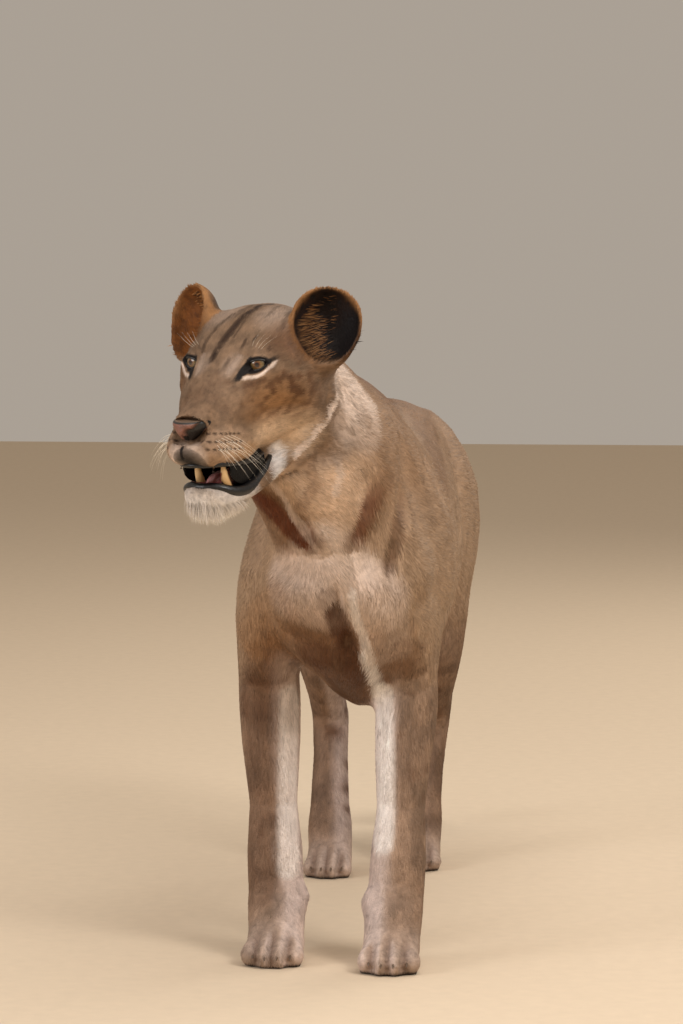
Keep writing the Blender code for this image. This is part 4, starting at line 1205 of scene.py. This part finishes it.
def make_finish(name):
    """A material that shows the piece's own colours, painted shade included, under grain, bumps and gloss.
    """
    fineness, contrast, height, pebbles, roughness, gloss, gloss_roughness = FINISHES[name]
    made, shader = material_shader(name, roughness, gloss, gloss_roughness)
    tree = made.node_tree
    shader.inputs["Specular IOR Level"].default_value = 0.25 if gloss == 0 else 0.5
    markings_and_shade = node(tree, "Attribute", attribute_name="markings_and_shade").outputs["Color"]
    group = bpy.data.node_groups.get("grain") or grain_group()
    grain = node(tree, "Group", node_tree=group)
    for key, value in (("Fineness", fineness), ("Contrast", contrast)):
        grain.inputs[key].default_value = value
    tree.links.new(markings_and_shade, grain.inputs["Colour"])
    tree.links.new(grain.outputs["Colour"], shader.inputs["Base Color"])
    if height:
        relief = grain
        if pebbles:
            relief = node(tree, "Group", node_tree=bpy.data.node_groups.get("pebbles") or pebble_group())
            relief.inputs["Fineness"].default_value = pebbles
        bump = node(tree, "Bump", {"Distance": height, "Height": relief.outputs["Height"]})
        tree.links.new(bump.outputs["Normal"], shader.inputs["Normal"])
    return made


def finish_of(name):
    return bpy.data.materials.get(name) or make_finish(name)


PUPIL = 0.15  # shares of the eyeball's radius
IRIS = 0.60
EYE_BANDS = (
    (0.0, tone(20, 8, 4)), (PUPIL, tone(26, 10, 5)), (PUPIL + 0.05, tone(96, 54, 26)),
    (0.34, tone(124, 96, 58)), (0.50, tone(98, 84, 56)), (IRIS - 0.03, tone(44, 32, 22)),
    (IRIS, tone(14, 9, 7)), (IRIS + 0.08, tone(34, 22, 18)),
)


def eye_finish():
    """A round pupil, an iris of fine rays with a dark edge, and a brown white of the eye."""
    made, shader = material_shader("eye_gloss", 0.25, 1.0, 0.03)
    tree = made.node_tree
    gaze = node(tree, "Attribute", attribute_name="gaze").outputs["Vector"]
    length = node(tree, "VectorMath", {0: gaze}, operation="LENGTH")
    bands = node(tree, "ValToRGB", {"Fac": length.outputs["Value"]})
    for n, (place, colour) in enumerate(EYE_BANDS):
        stop = bands.color_ramp.elements[n] if n < 2 else bands.color_ramp.elements.new(place)
        stop.position = place
        stop.color = (*colour, 1)
    ray = node(tree, "VectorMath", {0: gaze}, operation="NORMALIZE")
    rays = node(tree, "TexNoise", {"Scale": 9, "Detail": 6, "Vector": ray.outputs["Vector"]})
    span = {"From Min": 0.3, "From Max": 0.7, "To Min": 0.65, "To Max": 1.25}
    soften = node(tree, "MapRange", {**span, "Value": rays.outputs["Fac"]})
    product = multiplied(tree, bands.outputs["Color"], soften.outputs["Result"])
    tree.links.new(product, shader.inputs["Base Color"])
    return made


# Fine pieces --------------------------------------------------------------------------------------


def shown(obj, material, replaced=()):
    """The piece with its material, riding on the body, and the CAD nodes that it stands for."""
    obj.data.materials.clear()
    obj.data.materials.append(material)
    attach(obj, "root")
    if replaced:
        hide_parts(*replaced)


def coloured(obj, colours, finish, replaced=()):
    """The piece in its own colours, with one of the finishes."""
    tint(obj.data, colours)
    shown(obj, finish_of(finish), replaced)


def strands(name, paths, resolution=3, order=4):
    """Smooth round strands as one mesh: each path is a list of places and a list of radii."""
    curve = bpy.data.curves.new(name, "CURVE")
    curve.dimensions = "3D"
    curve.bevel_depth = 1.0
    curve.bevel_resolution = resolution
    curve.use_fill_caps = True
    for places, radii in paths:
        spline = curve.splines.new("NURBS")
        spline.points.add(len(places) - 1)
        for point, place, radius in zip(spline.points, places, radii):
            point.co = (*place, 1)
            point.radius = radius
        spline.order_u = order
        spline.use_endpoint_u = True
        spline.resolution_u = 4
    maker = bpy.data.objects.new(name + "_curve", curve)
    bpy.context.scene.collection.objects.link(maker)
    bpy.context.view_layer.update()
    mesh = bpy.data.meshes.new_from_object(maker.evaluated_get(bpy.context.evaluated_depsgraph_get()))
    bpy.data.objects.remove(maker)
    bpy.data.curves.remove(curve)
    bm = opened(mesh)
    bmesh.ops.remove_doubles(bm, verts=bm.verts, dist=1e-7)
    bmesh.ops.recalc_face_normals(bm, faces=bm.faces)
    closed(bm, mesh)
    mesh.name = name
    smooth_shaded(mesh)
    return linked(name, mesh)


def ball(name, u_segments, v_segments, shape, frame_matrix):
    """A round piece: a sphere of radius 1 whose points the shape function moves, then set in a frame."""
    bm = bmesh.new()
    bmesh.ops.create_uvsphere(bm, u_segments=u_segments, v_segments=v_segments, radius=1)
    mesh = closed(bm, bpy.data.meshes.new(name))
    move_points(mesh, out_of(frame_matrix, shape(points_of(mesh))))
    smooth_shaded(mesh)
    return linked(name, mesh)


def eyeball_shape(points):
    """A ball with the slight bulge of the cornea."""
    bulge = ramp(points[:, 2], 0.72, 0.98) * 0.045
    return points * (EYE_RADIUS * (1 + bulge))[:, None]


def build_eyes():
    material = eye_finish()
    for name, side in SIDES.items():
        obj = ball("eyeball_" + name, 64, 48, eyeball_shape, eye_frame(side))
        local = into(eye_frame(side), points_of(obj.data)) / EYE_RADIUS
        gaze = obj.data.attributes.new("gaze", "FLOAT_VECTOR", "POINT")
        local[:, 2] = np.where(local[:, 2] > 0, 0, 2)
        gaze.data.foreach_set("vector", local.astype(np.float32).ravel())
        shown(obj, material, ("eye_" + name,))


def lid_edge(side, upper, steps=22):
    """Places along one lid's edge, from the inner corner to the outer one."""
    places = []
    for n in range(steps + 1):
        s = -1 + 2 * n / steps
        x = s * (LID_WIDTH[0] if s > 0 else LID_WIDTH[1])
        half = LID_HALF[0 if upper else 1] * (1 - abs(s) ** 2.1) ** 0.85
        y = LID_SLANT * x - DUCT_DROP * max(-x - DUCT_START, 0) + (half if upper else -half)
        x -= LID_SHIFT
        reach = EYE_RADIUS + 0.0010
        depth = math.sqrt(max(reach ** 2 - x ** 2 - y ** 2, 0.0))
        places.append(eye_frame(side) @ Vector((x * side, y, depth)))
    return places


def build_lids():
    """The black wet edges of the lids."""
    paths = []
    for side in SIDES.values():
        for upper in (True, False):
            places = lid_edge(side, upper)
            last = len(places) - 1
            radii = [0.0013 + 0.0005 * math.sin(math.pi * n / last) for n in range(last + 1)]
            paths.append((places, radii))
    coloured(strands("lid_edges", paths), SOOT * 0.5, "wet_lip")


NOSTRIL = ((0.0100, -0.0850), (0.0160, -0.0800), (0.0230, -0.0720), (0.0310, -0.0620))


def nostril_mask(x, z):
    """1 in the comma of a nostril, seen from the front; the left one opens nearer the middle."""
    x = np.where(x > 0, x + 0.006, -x - 0.002)
    round_part = np.clip(1.35 - np.hypot((x - 0.0170) / 0.0085, (z + 0.0760) / 0.0080), 0, 1)
    return ramp(np.maximum(round_part, trail(np.column_stack((x, z)), NOSTRIL, 0.0070)), 0.15, 0.70)


NOSE_HEIGHTS = (-0.0890, -0.0860, -0.0800, -0.0700, -0.0600)
NOSE_HALVES = (0.0050, 0.0075, 0.0160, 0.0265, 0.0310)


def nose_shape(points):
    """A wide wedge with a flat top, narrow below, with a comma of a nostril on each side."""
    x, y, z = points.T
    ring = np.sqrt(np.clip(1 - z ** 2, 1e-6, 1))
    height = -0.0738 + 0.0148 * z
    full = np.sqrt(np.clip(1 - z ** 8, 0, 1))
    half = np.interp(height, NOSE_HEIGHTS, NOSE_HALVES) * (0.55 + 0.45 * full)
    shaped = np.column_stack((half * x / ring, -0.1310 + 0.0190 * (0.4 + 0.6 * full) * y / ring, height))
    shaped[:, 1] += 0.0110 * ramp(-z, -0.2, 1.0) + 0.0200 * (shaped[:, 0] / 0.031) ** 2
    shaped[:, 2] -= 0.0030 * ramp(-y, 0.0, 1.0) * ramp(z, 0.6, 1.0)
    front = ramp(-y / ring, 0.0, 0.4)
    hollow = nostril_mask(shaped[:, 0], shaped[:, 2]) * front
    shaped[:, 1] += 0.0085 * hollow
    shaped[:, 1] += 0.0025 * np.exp(-((shaped[:, 0] / 0.0016) ** 2)) * ramp(-z, 0.1, 0.6) * front
    return shaped


def build_nose():
    obj = ball("nose_leather", 128, 96, nose_shape, HEAD)
    head = into(HEAD, points_of(obj.data))
    x, z = head[:, 0], head[:, 2]
    colours = np.tile(tone(122, 80, 66), (len(head), 1))
    paint(colours, ramp(noise(head, 0.006), 0.55, 0.9) * 0.5, UMBER)
    paint(colours, ramp(z, -0.0626, -0.0614), SOOT)
    paint(colours, ramp(z, -0.0602, -0.0596), BRIDGE * 0.8)
    paint(colours, nostril_mask(x, z), SOOT * 0.5)
    paint(colours, 0.9 * ramp(np.abs(x), 0.0225, 0.0270), SOOT)
    paint(colours, ramp(-z, 0.0850, 0.0880), SOOT)
    paint(colours, np.exp(-((head[:, 0] / 0.0014) ** 2)) * ramp(-z, 0.074, 0.082), SOOT)
    coloured(obj, colours, "nose_leather", ("nose",))


# places along half of each lip from the corner of the mouth to the middle, and the lip's thickness there
LOWER_LIP = (
    ((0.0450, 0.010, -0.122), 0.0040), ((0.0460, -0.008, -0.131), 0.0070),
    ((0.0450, -0.030, -0.139), 0.0086), ((0.0450, -0.052, -0.1410), 0.0088),
    ((0.0440, -0.0765, -0.1390), 0.0086), ((0.0380, -0.0995, -0.1310), 0.0082),
    ((0.0235, -0.1125, -0.1180), 0.0072), ((0.0080, -0.1200, -0.1160), 0.0066),
)
UPPER_LIP = (
    ((0.0440, 0.012, -0.128), 0.0030), ((0.0425, -0.010, -0.1340), 0.0040),
    ((0.0400, -0.0328, -0.1340), 0.0044), ((0.0405, -0.0540, -0.1310), 0.0042),
    ((0.0385, -0.0752, -0.1300), 0.0042), ((0.0320, -0.0960, -0.1270), 0.0042),
    ((0.0215, -0.1115, -0.1270), 0.0042), ((0.0070, -0.1190, -0.1262), 0.0042),
)


def build_lips():
    """Smooth black lips: a full lower lip and a thinner upper one, joined at the corners of the mouth."""
    paths = []
    for matrix, half in ((JAW, LOWER_LIP), (HEAD, UPPER_LIP)):
        left = [(matrix @ Vector(place), thick) for place, thick in half]
        right = [(matrix @ Vector((-place[0], *place[1:])), thick) for place, thick in reversed(half)]
        paths.append(([place for place, thick in left + right], [thick for place, thick in left + right]))
    coloured(strands("lips", paths, resolution=6), tone(9, 7, 9), "wet_lip")


def cheek_lining_shape(points):
    """A soft black wall of skin with upright wrinkles, between the lips at the corner of the mouth."""
    x, y, z = points.T
    shaped = np.column_stack((0.0385 + 0.0050 * x, -0.026 + 0.052 * y, -0.1395 + 0.0265 * z))
    shaped[:, 0] += 0.0012 * np.sin(shaped[:, 1] * 1100) * (1 - z ** 2)
    return shaped


def build_cheek_linings():
    for name, side in SIDES.items():
        mirror = HEAD @ Matrix.Diagonal((side, 1, 1, 1))
        obj = ball("cheek_lining_" + name, 64, 32, cheek_lining_shape, mirror)
        if side < 0:
            obj.data.flip_normals()
        coloured(obj, tone(9, 6, 7), "inner_lip")


TEETH = (
    # frame, root, bend, tip, radius; given on the left
    ("jaw", (0.0200, -0.090, -0.140), (0.0215, -0.103, -0.110), (0.0215, -0.098, -0.082), 0.0072),
    ("head", (0.0250, -0.108, -0.118), (0.0255, -0.108, -0.124), (0.0262, -0.104, -0.1320), 0.0045),
    ("jaw", (0.0040, -0.112, -0.135), (0.0040, -0.1145, -0.122), (0.0040, -0.113, -0.116), 0.0024),
    ("jaw", (0.0095, -0.110, -0.135), (0.0095, -0.1125, -0.122), (0.0095, -0.111, -0.115), 0.0026),
    ("jaw", (0.0150, -0.106, -0.135), (0.0150, -0.1085, -0.122), (0.0150, -0.107, -0.114), 0.0029),
)


def build_teeth():
    paths = []
    for where, root, bend, tip, radius in TEETH:
        matrix = JAW if where == "jaw" else HEAD
        for side in SIDES.values():
            places = []
            radii = []
            for n in range(7):
                t = n / 6
                place = Vector(root).lerp(Vector(bend), t).lerp(Vector(bend).lerp(Vector(tip), t), t)
                shift = 0.007 if where == "jaw" else 0.0
                places.append(matrix @ Vector((place.x * side + shift, place.y, place.z)))
                radii.append(HEAD_SIZE * radius * (1.0 - t ** 2.2) ** 0.7 + 0.0002)
            paths.append((places, radii))
    obj = strands("teeth", paths, resolution=4, order=3)
    points = points_of(obj.data)
    colours = np.tile(tone(214, 178, 128), (len(points), 1))
    roots = 1 - ramp(into(JAW, points)[:, 2], -0.122, -0.104)
    paint(colours, 0.6 * roots, tone(176, 122, 62))
    coloured(obj, colours, "ivory")


def tongue_shape(points):
    """A long low tongue with a groove, raised at its edges."""
    x, y, z = points.T
    along = (1 - y) / 2  # 0 at the back, 1 at the tip
    wide = 0.0215 * (1 - 0.18 * ramp(along, 0.4, 1.0))
    lift = 0.0090 * np.where(z > 0, 1.0, 1.6)
    shaped = np.column_stack((wide * x, -0.052 + 0.054 * y, -0.129 + lift * z))
    shaped[:, 2] -= 0.006 * ramp(along, 0.65, 1.0) + 0.010 * ramp(-along, -0.7, 0.0)
    shaped[:, 2] -= 0.0035 * np.exp(-((x / 0.14) ** 2)) * ramp(z, 0.0, 0.5)
    shaped[:, 2] += 0.0020 * np.abs(x) ** 2
    return shaped


def build_tongue():
    obj = ball("tongue_top", 64, 48, tongue_shape, JAW)
    points = into(JAW, points_of(obj.data))
    colours = np.tile(tone(232, 160, 152), (len(points), 1))
    paint(colours, 0.5 * ramp(noise(points, 0.008), 0.4, 0.8), tone(246, 214, 206))
    # painted shade: the tongue darker towards its back, inside the mouth
    paint(colours, 0.6 * ramp(points[:, 1], -0.05, 0.0), tone(110, 52, 50))
    coloured(obj, colours, "wet_tongue", ("tongue",))


WHISKER_RADIUS = 0.00028
BROW_HAIR_RADIUS = 0.00020


def whisker_path(root, along, droop, length, radius):
    """A whisker that leaves the lip outwards, then curves back and down."""
    places = []
    radii = []
    for n in range(6):
        t = n / 5
        places.append(root + along * (length * t) + droop * (length * t * t))
        radii.append(radius * (1 - 0.85 * t))
    return places, radii


def build_whiskers(tree):
    """White whiskers from the spots of the lip, and a few over each eye."""
    rng = np.random.default_rng(SEED)
    paths = []
    turn = HEAD.to_3x3().normalized()
    for side in SIDES.values():
        for row in range(len(WHISKER_HEIGHTS)):
            for spot in range(1, 7):
                y, z = whisker_spot(row, spot)
                root = tree.find_nearest(HEAD @ Vector((0.058 * side, y, z)))[0]
                sway = rng.normal(0, 0.10, 3)
                along = Vector((side * (0.85 + sway[0]), 0.10 * spot - 0.35 + sway[1], -0.28 + sway[2]))
                along = turn @ along
                droop = turn @ Vector((-0.10 * side, 0.30, -0.42 - 0.10 * row))
                length = 0.026 + 0.006 * spot + 0.012 * rng.random()
                paths.append(whisker_path(root - along * 0.002, along, droop, length, WHISKER_RADIUS))
        for spot in range(4):
            root = tree.find_nearest(HEAD @ Vector((side * (0.044 + 0.005 * spot), -0.004, 0.030)))[0]
            along = turn @ Vector((side * (0.25 + 0.2 * spot), -0.45, 0.75))
            droop = turn @ Vector((0.2 * side, 0.55, 0.05))
            paths.append(whisker_path(root, along, droop, 0.024 + 0.006 * rng.random(), BROW_HAIR_RADIUS))
    whiskers = strands("whiskers", paths, resolution=1, order=3)
    coloured(whiskers, tone(236, 226, 208), "bristle")


def build_claws(tree):
    """The tips of the claws, just out of the fur of the toes."""
    paths = []
    for name in PAWS:
        low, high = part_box(name)
        centre = (low + high) / 2
        half = (high.x - low.x) / 2
        for toe in (-0.72, -0.25, 0.25, 0.72):
            front = low.y + 0.006 + 0.018 * abs(toe) ** 2
            ask = Vector((centre.x + toe * half * 0.80, front, low.z + 0.020))
            spot, normal = tree.find_nearest(ask)[:2]
            ahead = Vector((normal.x * 0.3, -1, -0.25)).normalized()
            down = Vector((0, 0, -1))
            places = [spot - ahead * 0.006, spot + ahead * 0.002, spot + ahead * 0.006 + down * 0.003]
            paths.append((places, [0.0028, 0.0022, 0.0004]))
    coloured(strands("claws", paths, resolution=2, order=3), tone(96, 78, 62), "horn")


# The coat -----------------------------------------------------------------------------------------

MOST_TUFTS = 48000  # in one piece, of four triangles each
FACE_TUFTS = 520000  # per square metre
CROWN_TUFTS = 260000  # fewer of them than on the face
BODY_TUFTS = 62000
LEG_TUFTS = 60000  # more of them than on the body
EAR_TUFTS = 130000
BRUSH_TUFTS = 160000
BRUSH_START = 1.27


def head_place(points):
    return into(HEAD, points)[:, 1]


def face_density(points):
    """Tufts per square metre on the head."""
    y = head_place(points)
    thick = FACE_TUFTS - CROWN_TUFTS * ramp(y, -0.02, 0.10)
    return np.where((y < 0.165) & ~bare(points), thick, 0) * settings().thickness


def body_density(points):
    """Tufts per square metre from the neck to the tail."""
    body = from_feet(points)
    low = 1 - ramp(body[:, 2], 0.10, 0.50)
    thick = BODY_TUFTS + LEG_TUFTS * low
    tail_end = body[:, 1] > BRUSH_START
    grows = (head_place(points) >= 0.155) & ~bare(points) & ~tail_end
    return np.where(grows, thick, 0) * settings().thickness


def settings():
    return bpy.context.scene.lioness_coat


def split(name, places, facing, make):
    """The tufts in pieces small enough to export whole."""
    count = max(1, math.ceil(len(places) / MOST_TUFTS))
    return [make("%s_%d" % (name, n + 1), places[n::count], facing[n::count]) for n in range(count)]


def furred(objects):
    for obj in objects:
        shown(obj, finish_of("fur"))


def build_face_coat(skin):
    """Very short hair over the head, ears and throat."""
    rng = np.random.default_rng(SEED + 1)
    places, facing = scatter(skin.data, face_density, rng)
    order = np.argsort(head_place(places), kind="stable")
    places, facing = places[order], facing[order]
    y = head_place(places)
    made = []
    for name, part in (("coat_face", y < 0.015), ("coat_crown", y >= 0.015)):
        def make(title, p, f):
            wide = 0.0011 + 0.0011 * ramp(head_place(p), 0.0, 0.12)
            return tufts(title, p, f, rng, wide, coat_length(p), 0.10)
        made += split(name, places[part], facing[part], make)
    furred(made)


def body_regions(points):
    """A name for each place on the body."""
    body = from_feet(points)
    x, y, z = body.T
    names = np.full(len(points), "coat_trunk", dtype=object)
    names[y < 0.05] = "coat_chest"
    names[(y < 0.02) & (z > 0.80)] = "coat_neck"
    for hind, side_name, side in ((0, "left", 1), (0, "right", -1), (1, "left", 1), (1, "right", -1)):
        leg = (z < 0.46) & ((x - LEGS_MIDDLE) * side > 0) & ((y > 0.40) == bool(hind)) & (y < TAIL_START)
        names[leg] = ("coat_hindleg_" if hind else "coat_foreleg_") + side_name
    names[y > 1.12] = "coat_tail"
    return names


def build_body_coat(skin):
    """Short hair over the neck, trunk, legs and tail."""
    rng = np.random.default_rng(SEED + 2)
    places, facing = scatter(skin.data, body_density, rng)
    names = body_regions(places)
    made = []

    def make(title, p, f):
        z = p[:, 2] - FEET.z
        wide = 0.0030 - 0.0014 * (1 - ramp(z, 0.10, 0.50))
        return tufts(title, p, f, rng, wide, coat_length(p), 0.040)

    for name in sorted(set(names)):
        part = names == name
        made += split(name, places[part], facing[part], make)
    furred(made)


def band(skin, density, where, rng):
    """Places of longer hair: the density times a mask of the place."""
    return scatter(skin.data, lambda points: density * where(points) * ~bare(points), rng)


def chin_mask(points):
    jaw = both(into(JAW, points))
    head = into(HEAD, points)
    return ramp(near(jaw, (0.0, -0.100, -0.170), (0.062, 0.070, 0.050)), 0.02, 0.4) * (head[:, 1] < 0.0)


def ruff_mask(points):
    """The fringe along the back edge of the cheek, from below the ear to the throat."""
    return ramp(trail(both(into(HEAD, points)), CHEEK_EDGE, 0.008), 0.0, 0.6)


def pad_mask(points):
    head = both(into(HEAD, points))
    return ramp(near(head, (0.048, -0.070, -0.135), (0.030, 0.055, 0.022)), 0.05, 0.5)


def neck_mask(points):
    head = both(into(HEAD, points))
    return ramp(near(head, (0.115, 0.185, -0.060), (0.055, 0.060, 0.110)), 0.02, 0.4)


def belly_mask(points):
    body = from_feet(points)
    facing_down = ramp(0.56 - body[:, 2], 0.0, 0.06) * ramp(body[:, 2], 0.40, 0.46)
    return facing_down * ramp(body[:, 1], 0.12, 0.24) * (1 - ramp(body[:, 1], 0.66, 0.74))


LOCKS = (
    # name, mask, tufts per square metre, width, length, lift, droop
    ("coat_chin", chin_mask, 460000, 0.0009, 0.0185, 0.24, 0.45),
    ("coat_ruff", ruff_mask, 300000, 0.0008, 0.0090, 0.20, 0.05),
    ("coat_lip_fringe", pad_mask, 200000, 0.0009, 0.0090, 0.15, 0.25),
    ("coat_neck_fringe", neck_mask, 90000, 0.0014, 0.0200, 0.10, 0.10),
    ("coat_belly_fringe", belly_mask, 30000, 0.0022, 0.0240, 0.16, 0.25),
)


def build_locks(skin):
    """Longer hair: chin, cheek fringe, edge of the lip, sides of the neck and belly."""
    made = []
    for n, (name, mask, density, width, length, lift, droop) in enumerate(LOCKS):
        rng = np.random.default_rng(SEED + 10 + n)
        places, facing = band(skin, density, mask, rng)
        made.append(tufts(name, places, facing, rng, width, np.full(len(places), length), lift, 2, droop))
    furred(made)


def build_ear_hair(skin):
    """Long streaky hair that fans over the hollow of each ear."""
    made = []
    for n, (name, side) in enumerate(SIDES.items()):
        rng = np.random.default_rng(SEED + 20 + n)
        turn = axes_of(ear_frame(side))

        def inside(points):
            local, share, belongs = ear_zone(points, side)
            inner = ramp(-local[:, 0] * side, -0.020, 0.030)
            return belongs * (share < 0.86) * (0.25 + 0.75 * inner)

        places, facing = scatter(skin.data, lambda points: EAR_TUFTS * inside(points), rng)
        front = (facing @ turn)[:, 1] < 0.25
        places, facing = places[front], facing[front]
        local = into(ear_frame(side), places)
        level = np.ones(len(local))
        flow = np.column_stack((0.9 * side * level, -0.15 * level, 0.20 - 4 * local[:, 2]))
        flow = unit(flow @ turn.T)
        mix = rng.random(len(places))[:, None]
        fan = ramp(-local[:, 0] * side - 0.3 * local[:, 2], -0.004, 0.026)[:, None]
        # painted light and shade in the ear hair: the right ear's hair mostly pale, in painted light; the
        # left ear's mostly black, in painted shade, browner where it fans out; every hair darker at its
        # root, painted shade
        dark, middling = (0.15, 0.50) if side < 0 else (0.85 - 0.65 * fan, 0.95 - 0.40 * fan)
        pale = CHEEK * (1.5 if side < 0 else 0.85)
        base = SOOT * 2 * (mix < dark) + RUST * (mix >= dark) * (mix < middling) + pale * (mix >= middling)
        colours = np.repeat(base[:, None], 7, axis=1) * np.linspace(0.55, 1.1, 7)[None, :, None]
        length = 0.018 * np.clip(1.5 - ear_zone(places, side)[1], 0.3, 1.0)
        grown = (places, facing, rng, 0.0013, length, 0.05, 2, 0.0, colours, flow)
        made.append(tufts("ear_hair_" + name, *grown))
    furred(made)


def build_brush(skin):
    """The black brush at the end of the tail."""
    rng = np.random.default_rng(SEED + 30)

    def tail_end(points):
        body = from_feet(points)
        return BRUSH_TUFTS * ramp(body[:, 1], 1.25, 1.28) * (body[:, 2] < 0.25)

    places, facing = scatter(skin.data, tail_end, rng)
    flow = np.tile((0.0, 0.75, -0.65), (len(places), 1))
    length = np.full(len(places), 0.030)
    obj = tufts("coat_brush", places, facing, rng, 0.0016, length, 0.12, 2, 0.1, None, flow)
    furred([obj])


# Stage --------------------------------------------------------------------------------------------

CAMERA_TURN = 5.0  # degrees round the animal, towards its left side
CAMERA_AWAY = 7.0
CAMERA_HEIGHT = 1.315
CAMERA_SIDE = 0.010
CAMERA_DIP = 4.7605
CAMERA_LENS = 152.82


def build_camera():
    turn = math.radians(CAMERA_TURN)
    data = bpy.data.cameras.new("view")
    data.lens = CAMERA_LENS
    data.sensor_width = 36
    data.clip_end = 100
    camera = bpy.data.objects.new("view", data)
    bpy.context.scene.collection.objects.link(camera)
    away = Vector((math.sin(turn), -math.cos(turn), 0)) * CAMERA_AWAY
    aside = Vector((math.cos(turn), math.sin(turn), 0)) * CAMERA_SIDE
    camera.location = FEET + away + aside + Vector((0, 0, CAMERA_HEIGHT))
    camera.rotation_euler = (math.radians(90 - CAMERA_DIP), 0, turn)
    bpy.context.scene.camera = camera


LAMPS = (
    # name, place, size, power, colour
    ("sky_lamp", (0.5, -1.5, 5.0), 4.0, 120, (1.0, 0.97, 0.94)),
    ("key_lamp", (3.4, -3.6, 4.2), 1.8, 150, (1.0, 0.96, 0.92)),
    ("fill_lamp", (-4.2, -3.6, 2.2), 2.5, 112, (0.97, 0.97, 1.0)),
    ("back_lamp", (2.5, 4.5, 3.5), 2.5, 80, (1.0, 0.95, 0.88)),
)


def build_lamps():
    for name, place, size, power, colour in LAMPS:
        data = bpy.data.lights.new(name, "AREA")
        data.size = size
        data.energy = power
        data.color = colour
        lamp = bpy.data.objects.new(name, data)
        lamp.location = place
        lamp.rotation_euler = (Vector((0, 0, 0.7)) - Vector(place)).to_track_quat("-Z", "Y").to_euler()
        bpy.context.scene.collection.objects.link(lamp)
    world = bpy.data.worlds.new("pale_sky")
    world.use_nodes = True
    sky = world.node_tree.nodes["Background"]
    sky.inputs["Color"].default_value = (*tone(238, 224, 208), 1)
    sky.inputs["Strength"].default_value = 0.47
    bpy.context.scene.world = world
    bpy.context.scene.view_settings.view_transform = "Standard"


def build_floor():
    bm = bmesh.new()
    bmesh.ops.create_grid(bm, x_segments=2, y_segments=2, size=12)
    bmesh.ops.translate(bm, verts=bm.verts, vec=(0, 0, CAD_BOX[0][2]))
    mesh = closed(bm, bpy.data.meshes.new("floor"))
    tint(mesh, tone(218, 198, 172))
    obj = linked("floor", mesh)
    mesh.materials.append(finish_of("pale_floor"))


# The add-on ---------------------------------------------------------------------------------------


class LionessCoat(bpy.types.PropertyGroup):
    thickness: bpy.props.FloatProperty(
        name="Thickness", description="How many tufts grow, as a share of the full coat",
        default=1.0, min=0.0, max=1.2, subtype="FACTOR",
    )
    length: bpy.props.FloatProperty(
        name="Length", description="Length of the hair on the flanks",
        default=0.017, min=0.002, max=0.05, unit="LENGTH",
    )


class SkinOperator(bpy.types.Operator):
    """One skin over head, neck, trunk, legs and tail, with lids, lips, coat pattern and painted shade"""

    bl_idname = "lioness.skin"
    bl_label = "Skin"

    def execute(self, context):
        obj = build_skin()
        colours = coat_colours(points_of(obj.data), normals_of(obj.data))
        coloured(obj, colours, "skin", FLESH)
        return {"FINISHED"}


def skin_tree():
    mesh = bpy.data.objects["skin"].data
    return BVHTree.FromPolygons(points_of(mesh).tolist(), [tuple(p.vertices) for p in mesh.polygons])


class EyesOperator(bpy.types.Operator):
    """Eyeballs and the edges of the lids"""

    bl_idname = "lioness.eyes"
    bl_label = "Eyes"

    def execute(self, context):
        build_eyes()
        build_lids()
        return {"FINISHED"}


class MouthOperator(bpy.types.Operator):
    """Nose, lips, teeth and tongue"""

    bl_idname = "lioness.mouth"
    bl_label = "Nose and mouth"

    def execute(self, context):
        build_nose()
        build_lips()
        build_cheek_linings()
        build_teeth()
        build_tongue()
        return {"FINISHED"}


class WhiskersOperator(bpy.types.Operator):
    """Whiskers and claws"""

    bl_idname = "lioness.whiskers"
    bl_label = "Whiskers and claws"

    def execute(self, context):
        tree = skin_tree()
        build_whiskers(tree)
        build_claws(tree)
        return {"FINISHED"}


class CoatOperator(bpy.types.Operator):
    """Short tufts over the whole body"""

    bl_idname = "lioness.coat"
    bl_label = "Coat"

    def execute(self, context):
        skin = bpy.data.objects["skin"]
        build_face_coat(skin)
        build_body_coat(skin)
        return {"FINISHED"}


class LocksOperator(bpy.types.Operator):
    """Longer hair on the chin, cheeks, neck, belly, ears and tail"""

    bl_idname = "lioness.locks"
    bl_label = "Long hair"

    def execute(self, context):
        skin = bpy.data.objects["skin"]
        build_locks(skin)
        build_ear_hair(skin)
        build_brush(skin)
        return {"FINISHED"}


class StageOperator(bpy.types.Operator):
    """Floor, lamps and camera"""

    bl_idname = "lioness.stage"
    bl_label = "Stage"

    def execute(self, context):
        build_floor()
        build_lamps()
        build_camera()
        return {"FINISHED"}


OPERATORS = (
    SkinOperator, EyesOperator, MouthOperator, WhiskersOperator, CoatOperator, LocksOperator, StageOperator,
)


class LionessPanel(bpy.types.Panel):
    bl_idname = "VIEW3D_PT_lioness"
    bl_label = "Lioness"
    bl_space_type = "VIEW_3D"
    bl_region_type = "UI"
    bl_category = "Lioness"

    def draw(self, context):
        layout = self.layout
        layout.prop(context.scene.lioness_coat, "thickness")
        layout.prop(context.scene.lioness_coat, "length")
        for operator in OPERATORS:
            layout.operator(operator.bl_idname)


CLASSES = (LionessCoat, *OPERATORS, LionessPanel)


def register():
    for each in CLASSES:
        bpy.utils.register_class(each)
    bpy.types.Scene.lioness_coat = bpy.props.PointerProperty(type=LionessCoat)


def unregister():
    del bpy.types.Scene.lioness_coat
    for each in reversed(CLASSES):
        bpy.utils.unregister_class(each)


def main():
    register()
    for operator in OPERATORS:
        group, name = operator.bl_idname.split(".")
        getattr(getattr(bpy.ops, group), name)()


if __name__ == "__main__":
    main()
